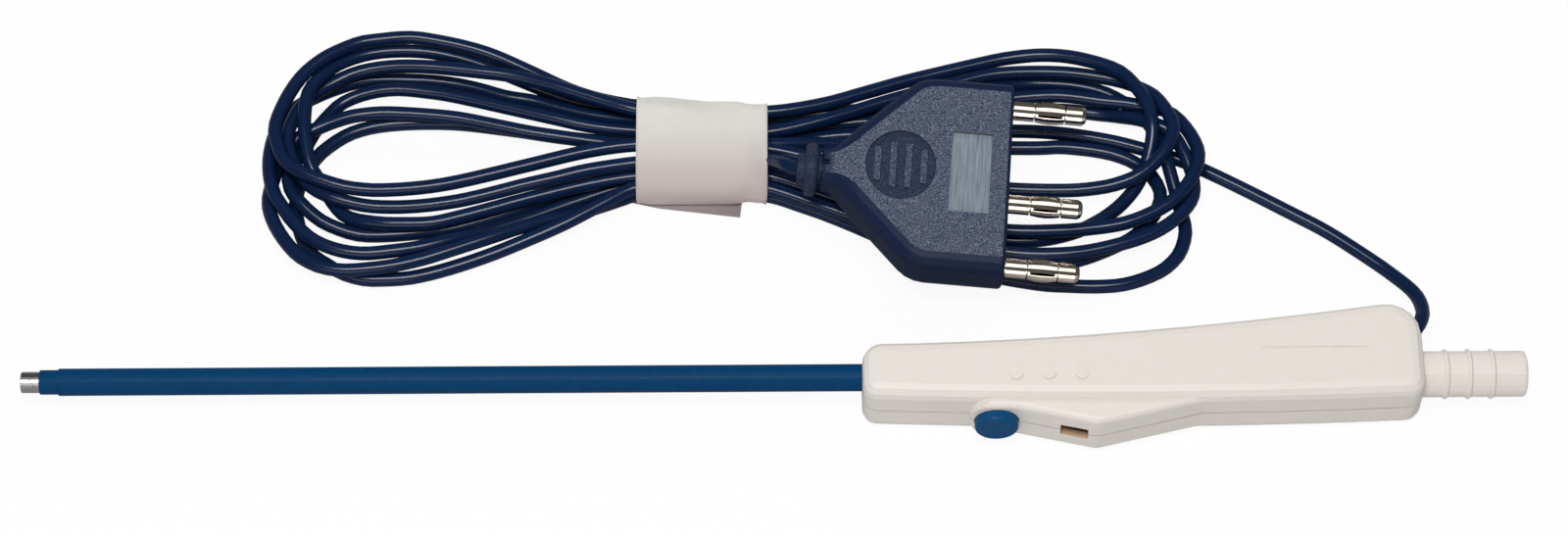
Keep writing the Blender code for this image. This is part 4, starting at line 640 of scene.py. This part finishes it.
def bumps(tree, height, strength, distance):
    """Make the surface look raised where the height is large."""
    bump = tree.nodes.new("ShaderNodeBump")
    bump.inputs["Strength"].default_value = strength
    bump.inputs["Distance"].default_value = distance
    tree.links.new(height, bump.inputs["Height"])
    tree.links.new(bump.outputs["Normal"], tree.nodes["Principled BSDF"].inputs["Normal"])


def plastic(name, colour, light, roughness, grain_size, grain_depth, speck_amount=0.0, gloss=0.3,
            spread=0.06):
    """A moulded plastic with grain, a second colour in its specks and a slight unevenness."""
    material, tree, shader = new_material(name)
    group = tree.nodes.new("ShaderNodeGroup")
    group.node_tree = moulded_grain
    group.inputs["Grain Size"].default_value = grain_size
    group.inputs["Speck Amount"].default_value = speck_amount
    mixed = colour_mix(tree, group.outputs["Specks"], colour, light)
    tree.links.new(mixed, shader.inputs["Base Color"])
    uneven_roughness(tree, group.outputs["Unevenness"], roughness - spread, roughness + spread)
    bumps(tree, group.outputs["Height"], 0.35, grain_depth)
    shader.inputs["Specular IOR Level"].default_value = gloss
    return material


def dress(names, material):
    """Give CAD pieces a finish."""
    for name in names:
        nodes[name].data.materials.clear()
        nodes[name].data.materials.append(material)


print("helpers ready")

# %% [markdown]
# The shells are a warm off-white, the sleeves on the tube and the button two close blues. The walls of the
# vent window belong to the white shells but look tan, like the body inside. Cutting them off as a piece of
# their own would change the solid, so a mask by place tints them.

# %% Plastic pieces
VENT_MIDDLE = (0.0610, 0.0075)
VENT_HALF = (0.00282, 0.00197)
VENT_REACH = (-0.0080, -0.0082)


def line_window(material, tint):
    """Tint the walls of the vent window in the shells as tan as the body inside it."""
    tree = material.node_tree
    shader = tree.nodes["Principled BSDF"]
    axes = object_axes(tree)
    window = arithmetic(tree, "MULTIPLY", inside_mask(tree, axes["X"], VENT_MIDDLE[0], VENT_HALF[0]),
                        inside_mask(tree, axes["Z"], VENT_MIDDLE[1], VENT_HALF[1]))
    window = arithmetic(tree, "MULTIPLY", window, step_mask(tree, axes["Y"], *VENT_REACH))
    plain = shader.inputs["Base Color"].links[0].from_socket
    tree.links.new(colour_mix(tree, window, plain, tint), shader.inputs["Base Color"])


shell_plastic = plastic("handle_satin", (0.745, 0.715, 0.665), (0.78, 0.75, 0.71), 0.42, 900.0, 0.00002, 0.4)
sleeve_plastic = plastic("blue_insulation", (0.0015, 0.044, 0.132), (0.0025, 0.054, 0.154), 0.44, 600.0,
                         0.00002, 0.5, 0.06)
button_plastic = plastic("button_blue", (0.003, 0.066, 0.180), (0.004, 0.076, 0.200), 0.40, 900.0, 0.00002,
                         0.4, 0.10)
vent_plastic = plastic("vent_tan", (0.62, 0.40, 0.27), (0.68, 0.45, 0.31), 0.5, 900.0, 0.00002, 0.4, 0.1)
dark_plastic = plastic("dark_moulding", (0.015, 0.018, 0.03), (0.03, 0.035, 0.05), 0.5, 1200.0, 0.00004, 0.5)
board_plastic = plastic("board_green", (0.02, 0.12, 0.05), (0.03, 0.16, 0.07), 0.4, 1200.0, 0.00002, 0.5)
line_window(shell_plastic, (0.56, 0.41, 0.29))
dress(["upper_shell", "lower_shell", "hose_barb"], shell_plastic)
dress(["inner_sleeve", "outer_sleeve"], sleeve_plastic)
dress(["button_cap"], button_plastic)
dress(["vent_body"], vent_plastic)
dress(["pin_carrier", "cord_clamp"], dark_plastic)
dress(["switch_board"], board_plastic)
for name, colour in (("wire_electrode", (0.02, 0.08, 0.4)), ("wire_switch_one", (0.7, 0.7, 0.68)),
                     ("wire_switch_two", (0.01, 0.01, 0.01))):
    dress([name], plastic(name + "_jacket", colour, colour, 0.35, 900.0, 0.00001))
print("plastics made")

# %% [markdown]
# The plug's flat face has a coarse grain from its mould. Its colour is the grain's specks with a painted sheen,
# paler and greyer than the smooth dark rim round it, and the grip, its bars and the neck ring get some of the
# same painted sheen. The two could be separate pieces, but it is one moulding, so one material tells them apart
# by height above the plug's middle. A Mapping node turns the pattern with the plug, which lies askew on the
# hank. The shallow bare panel is polished, so it is shinier than the grain round it, and its paler colour is a
# painted reflection.

# %% Plug finish
PLUG_PLACE = [value * MM for value in PLUG_MIDDLE]
PLUG_TURN = [math.radians(angle) for angle in (PLUG_TILT, PLUG_PITCH, PLUG_YAW)]
PANEL_MIDDLE = (-0.0083, -0.0004)
PANEL_HALF = (0.0042, 0.0093)
PANEL_FLOOR = (0.0046, 0.0049)
FACE_HEIGHT = 0.0057
FACE_LEVEL = (0.988, 0.994)
FACE_START = (-0.0384, -0.0362)
NECK_ENDS = (-0.0390, -0.0312)
NECK_HEIGHT = 0.0038
RING_START = -0.0393
GRIP_MIDDLE = -0.0228
GRIP_HALF = (0.0074, 0.0081)
GRIP_EDGE = (1.06, 1.0)
UPPER_SIDE = (0.0, 0.0030)
BAR_TOP = (0.0053, 0.0055)
# how much of the grained finish with its painted sheen the grip, its bars and the ring get
GRIP_GRAIN_SHEEN = 0.25
BAR_GRAIN_SHEEN = 0.5
RING_GRAIN_SHEEN = 0.2


def plug_axes(tree):
    """Places as they lie in the plug, as a vector and as X, Y and Z."""
    place = tree.nodes.new("ShaderNodeTexCoord")
    turned = tree.nodes.new("ShaderNodeMapping")
    turned.vector_type = "TEXTURE"
    turned.inputs["Location"].default_value = PLUG_PLACE
    turned.inputs["Rotation"].default_value = PLUG_TURN
    tree.links.new(place.outputs["Object"], turned.inputs["Vector"])
    apart = tree.nodes.new("ShaderNodeSeparateXYZ")
    tree.links.new(turned.outputs["Vector"], apart.inputs["Vector"])
    return turned.outputs["Vector"], apart.outputs


def plug_finish():
    """Grained face with painted sheen, smooth rim and polished panel with painted reflection in one moulding.
    """
    material, tree, shader = new_material("plug_grain_and_sheen")
    link = tree.links.new
    turned, axes = plug_axes(tree)
    top = tree.nodes.new("ShaderNodeMapRange")
    top.interpolation_type = "SMOOTHSTEP"
    top.inputs["From Min"].default_value = NECK_ENDS[0]
    top.inputs["From Max"].default_value = NECK_ENDS[1]
    top.inputs["To Min"].default_value = NECK_HEIGHT
    top.inputs["To Max"].default_value = FACE_HEIGHT
    link(axes["X"], top.inputs["Value"])
    level = arithmetic(tree, "DIVIDE", axes["Z"], top.outputs["Result"])
    face = arithmetic(tree, "MULTIPLY", step_mask(tree, level, *FACE_LEVEL),
                      step_mask(tree, axes["X"], *FACE_START))
    across = arithmetic(tree, "DIVIDE", arithmetic(tree, "SUBTRACT", axes["X"], GRIP_MIDDLE), GRIP_HALF[0])
    along = arithmetic(tree, "DIVIDE", axes["Y"], GRIP_HALF[1])
    squares = arithmetic(tree, "ADD", arithmetic(tree, "MULTIPLY", across, across),
                         arithmetic(tree, "MULTIPLY", along, along))
    grip = arithmetic(tree, "MULTIPLY", step_mask(tree, squares, *GRIP_EDGE),
                      step_mask(tree, axes["Z"], *UPPER_SIDE))
    # the tops of the bars get more painted sheen, so that they stand out on the grip
    bars = arithmetic(tree, "MULTIPLY", grip, step_mask(tree, axes["Z"], *BAR_TOP))
    ring = step_mask(tree, axes["X"], NECK_ENDS[0], RING_START)
    dull_and_sheen = arithmetic(tree, "ADD", arithmetic(tree, "MULTIPLY", grip, GRIP_GRAIN_SHEEN),
                      arithmetic(tree, "MULTIPLY", bars, BAR_GRAIN_SHEEN))
    dull_and_sheen = arithmetic(tree, "MAXIMUM", dull_and_sheen, arithmetic(tree, "MULTIPLY", ring, RING_GRAIN_SHEEN))
    grain_and_sheen = arithmetic(tree, "MAXIMUM", face, dull_and_sheen)
    panel = arithmetic(tree, "MULTIPLY", inside_mask(tree, axes["X"], PANEL_MIDDLE[0], PANEL_HALF[0]),
                       inside_mask(tree, axes["Y"], PANEL_MIDDLE[1], PANEL_HALF[1]))
    panel = arithmetic(tree, "MULTIPLY", panel, step_mask(tree, axes["Z"], *PANEL_FLOOR))
    grain = tree.nodes.new("ShaderNodeGroup")
    grain.node_tree = moulded_grain
    grain.inputs["Grain Size"].default_value = 4000.0
    grain.inputs["Speck Amount"].default_value = 1.0
    # the grained colour is the grain's specks with a painted sheen, paler than the smooth rim
    speckled_sheen = colour_mix(tree, grain.outputs["Specks"], (0.034, 0.046, 0.084), (0.215, 0.240, 0.310))
    smooth = colour_mix(tree, grain.outputs["Specks"], (0.0090, 0.0165, 0.047), (0.013, 0.023, 0.060))
    colour = colour_mix(tree, grain_and_sheen, smooth, speckled_sheen)
    lines = tree.nodes.new("ShaderNodeMapping")
    lines.inputs["Scale"].default_value = (3200, 160, 160)
    link(turned, lines.inputs["Vector"])
    streaks = tree.nodes.new("ShaderNodeTexNoise")
    streaks.inputs["Scale"].default_value = 1.0
    link(lines.outputs["Vector"], streaks.inputs["Vector"])
    streaked = step_mask(tree, streaks.outputs["Fac"], 0.3, 0.7)
    # the panel's paler colour is a painted reflection over its brushed streaks
    brushed_reflection = colour_mix(tree, streaked, (0.15, 0.18, 0.22), (0.26, 0.30, 0.35))
    colour = colour_mix(tree, panel, colour, brushed_reflection)
    link(colour, shader.inputs["Base Color"])
    polish = arithmetic(tree, "MULTIPLY", panel, 0.2)
    rough = arithmetic(tree, "SUBTRACT", arithmetic(tree, "MULTIPLY", grain_and_sheen, 0.22), polish)
    link(arithmetic(tree, "ADD", rough, 0.42), shader.inputs["Roughness"])
    depth = arithmetic(tree, "ADD", grain_and_sheen, 0.08)
    bumps(tree, arithmetic(tree, "MULTIPLY", grain.outputs["Height"], depth), 0.5, 0.00006)
    shader.inputs["Specular IOR Level"].default_value = 0.10
    return material


plug_plastic = plug_finish()
dress(["plug_body"], plug_plastic)
print("plug finish made")

# %% [markdown]
# The cord's jacket is soft, smooth and glossy, with a thin line of light along each strand. Its colour is a
# dark navy. Only a weak reflection lies over it, because a strong one would show the white studio as grey.

# %% Cord jacket
jacket = plastic("cord_jacket", (0.0038, 0.0140, 0.051), (0.0050, 0.0170, 0.059), 0.20, 250.0, 0.000004, 0.5,
                 0.34, 0.03)
cord.data.materials.append(jacket)
print("cord jacket made")

# %% [markdown]
# Metals differ from plastics in their tint and in how they scatter light along a scratch direction. The pins
# are plated with warm nickel, and the tube is bright drawn steel, which shows rings of fine scratches.

# %% Metals
def metal(name, colour, roughness, scale, depth):
    """A bright metal with fine scratches across the X axis."""
    material, tree, shader = new_material(name)
    shader.inputs["Metallic"].default_value = 1.0
    shader.inputs["Base Color"].default_value = (*colour, 1)
    place = tree.nodes.new("ShaderNodeTexCoord")
    stretch = tree.nodes.new("ShaderNodeMapping")
    stretch.inputs["Scale"].default_value = scale
    noise = tree.nodes.new("ShaderNodeTexNoise")
    noise.inputs["Scale"].default_value = 1.0
    noise.inputs["Detail"].default_value = 4.0
    tree.links.new(place.outputs["Object"], stretch.inputs["Vector"])
    tree.links.new(stretch.outputs["Vector"], noise.inputs["Vector"])
    uneven_roughness(tree, noise.outputs["Fac"], roughness * 0.7, roughness * 1.4)
    bumps(tree, noise.outputs["Fac"], 0.3, depth)
    return material


print("helper ready")

# %% [markdown]
# A pin is seen between the springs of its cage, where it lies in their shade. Bright metal would fill those
# slots with light, so a mask by place darkens the pin there and leaves its tip bright.

# %% Metal pieces
CORE_MIDDLE = 0.0080
CORE_HALF = 0.0032
NICKEL = ((0.93, 0.84, 0.73), 0.10, (900, 300, 300), 0.000004)


def shade_core(material):
    """Darken a pin where its spring cage covers it, so that the cage's slots look deep."""
    tree = material.node_tree
    shader = tree.nodes["Principled BSDF"]
    core = inside_mask(tree, plug_axes(tree)[1]["X"], CORE_MIDDLE, CORE_HALF)
    colour = tuple(shader.inputs["Base Color"].default_value)[:3]
    tree.links.new(colour_mix(tree, core, colour, (0.02, 0.017, 0.014)), shader.inputs["Base Color"])


steel = metal("drawn_steel", (0.72, 0.71, 0.69), 0.22, (4000, 300, 300), 0.00001)
nickel = metal("warm_nickel", *NICKEL)
pin_nickel = metal("warm_nickel_pin", *NICKEL)
shade_core(pin_nickel)
dress(["suction_tube", "tube_contact_clip", "contact_dome"], steel)
dress(CAGES, nickel)
dress(PINS, pin_nickel)
print("metals made")

# %% [markdown]
# Paper scatters light softly, and its fine fibres show as a faint mottling. It could have one colour all over,
# but where it curves down to the table it lies in shade, so a mask by place mixes in a second colour there, a
# painted shade that is darker and a little mauve.

# %% Paper
PAPER_SHADE_FALL = (0.0605, 0.0455)


def paper(name, colour, shade, low):
    """A soft sheet with fine mottling and painted shade, darker where it curves down to the table."""
    material, tree, shader = new_material(name)
    place = tree.nodes.new("ShaderNodeTexCoord")
    fibre = tree.nodes.new("ShaderNodeTexNoise")
    fibre.inputs["Scale"].default_value = 450.0
    fibre.inputs["Detail"].default_value = 5.0
    tree.links.new(place.outputs["Object"], fibre.inputs["Vector"])
    mottled = colour_mix(tree, fibre.outputs["Fac"], colour, shade)
    # painted shade: the last colour is mixed in towards the near side, where the paper curves down to the table
    painted_shade = step_mask(tree, object_axes(tree)["Y"], *PAPER_SHADE_FALL)
    tree.links.new(colour_mix(tree, painted_shade, mottled, low), shader.inputs["Base Color"])
    bumps(tree, fibre.outputs["Fac"], 0.25, 0.00005)
    shader.inputs["Roughness"].default_value = 0.85
    return material


band_paper = paper("band_paper_soft", (0.72, 0.71, 0.67), (0.65, 0.64, 0.60), (0.50, 0.435, 0.425))
# the loose end's darker colours are painted shade for the shadow of the hank
flap_paper = paper("flap_paper_soft", (0.34, 0.29, 0.29), (0.29, 0.25, 0.25), (0.315, 0.27, 0.27))
paper_band.data.materials.append(band_paper)
paper_flap.data.materials.append(flap_paper)
print("paper made")

# %% [markdown]
# The ground in the photograph is almost white, yet the shadows on it are faint, as on a ground that is lit more
# than the object. A white floor alone would come out greyer, so this one glows to the camera, lights the object
# as a plain pale floor, and is dim in its reflections, where it would turn the dark cord grey.

# %% Floor
FLOOR_HALF = 3.0
FLOOR_DROP = 0.00002
FLOOR_GLOW = 0.93


def floor_finish():
    """A pale floor that looks bright to the camera, lights the object and is dim in its reflections."""
    material, tree, shader = new_material("floor_white")
    shader.inputs["Base Color"].default_value = (0.90, 0.90, 0.90, 1)
    shader.inputs["Roughness"].default_value = 0.9
    shader.inputs["Specular IOR Level"].default_value = 0.1
    glow = tree.nodes.new("ShaderNodeEmission")
    rays = tree.nodes.new("ShaderNodeLightPath")
    mix = tree.nodes.new("ShaderNodeMixShader")
    dim = tree.nodes.new("ShaderNodeMixShader")
    grey = tree.nodes.new("ShaderNodeBsdfDiffuse")
    grey.inputs["Color"].default_value = (0.25, 0.25, 0.27, 1)
    link = tree.links.new
    link(rays.outputs["Is Glossy Ray"], dim.inputs[0])
    link(shader.outputs["BSDF"], dim.inputs[1])
    link(grey.outputs["BSDF"], dim.inputs[2])
    link(arithmetic(tree, "MULTIPLY", rays.outputs["Is Camera Ray"], FLOOR_GLOW), mix.inputs[0])
    link(dim.outputs["Shader"], mix.inputs[1])
    link(glow.outputs["Emission"], mix.inputs[2])
    link(mix.outputs["Shader"], tree.nodes["Material Output"].inputs["Surface"])
    return material


def add_floor():
    """A wide pale floor."""
    bm = bmesh.new()
    bmesh.ops.create_grid(bm, x_segments=1, y_segments=1, size=FLOOR_HALF)
    bmesh.ops.translate(bm, verts=bm.verts, vec=(0, 0, -FLOOR_DROP))
    floor = link_mesh("floor", bm)
    floor.data.materials.append(floor_finish())


add_floor()
print("floor made")

# %% [markdown]
# The studio's light comes from soft boxes: one nearly overhead that draws the thin light line on each strand,
# a long low one behind, and a wide weak one in front. The one behind is left out of reflections, and the
# studio is dimmer in them, because they would turn the dark cord grey. Plated pins need the opposite, so two
# more lights reach only the pins.

# %% Lights
OBJECT_MIDDLE = (0, 0.03, 0)
PINS_MIDDLE = (0.07, 0.04, 0.01)
STUDIO_LIGHT = 0.20
STUDIO_DIMMING = 0.13


def add_light(name, place, target, size, power, colour=(1, 1, 1)):
    """A soft rectangular light that faces its target."""
    data = bpy.data.lights.new(name, "AREA")
    data.shape = "RECTANGLE"
    data.size = size[0]
    data.size_y = size[1]
    data.energy = power
    data.color = colour
    light = bpy.data.objects.new(name, data)
    bpy.context.scene.collection.objects.link(light)
    light.location = place
    light.rotation_euler = (Vector(target) - Vector(place)).to_track_quat("-Z", "Y").to_euler()
    return light


def light_only(light, names):
    """Let a light reach only some pieces."""
    reached = bpy.data.collections.new(light.name + "_reach")
    for name in names:
        reached.objects.link(nodes[name])
    light.light_linking.receiver_collection = reached


def add_studio():
    """An even light from all round that is weaker in reflections."""
    world = bpy.data.worlds.new("studio")
    world.use_nodes = True
    tree = world.node_tree
    background = tree.nodes["Background"]
    background.inputs["Color"].default_value = (1, 1, 1, 1)
    rays = tree.nodes.new("ShaderNodeLightPath")
    dimming = arithmetic(tree, "MULTIPLY", rays.outputs["Is Glossy Ray"], STUDIO_DIMMING)
    tree.links.new(arithmetic(tree, "SUBTRACT", STUDIO_LIGHT, dimming), background.inputs["Strength"])
    bpy.context.scene.world = world


light_only(add_light("pins_above", (0.05, 0.12, 0.55), PINS_MIDDLE, (0.9, 0.55), 1.9), PINS + CAGES)
light_only(add_light("pins_front", (0.05, -0.55, 0.20), PINS_MIDDLE, (0.9, 0.40), 1.6), PINS + CAGES)
add_light("overhead", (-0.05, -0.20, 1.15), OBJECT_MIDDLE, (0.60, 0.38), 9.5, (1.0, 0.99, 0.975))
behind = add_light("behind", (0.0, 1.0, 0.62), OBJECT_MIDDLE, (1.3, 0.22), 4.0)
behind.visible_glossy = False
add_light("front", (-0.35, -1.1, 0.65), OBJECT_MIDDLE, (1.0, 0.5), 3.1, (1.0, 0.945, 0.955))
add_studio()
bpy.context.scene.view_settings.view_transform = "Standard"
print("lights: 5 and the studio's own light")
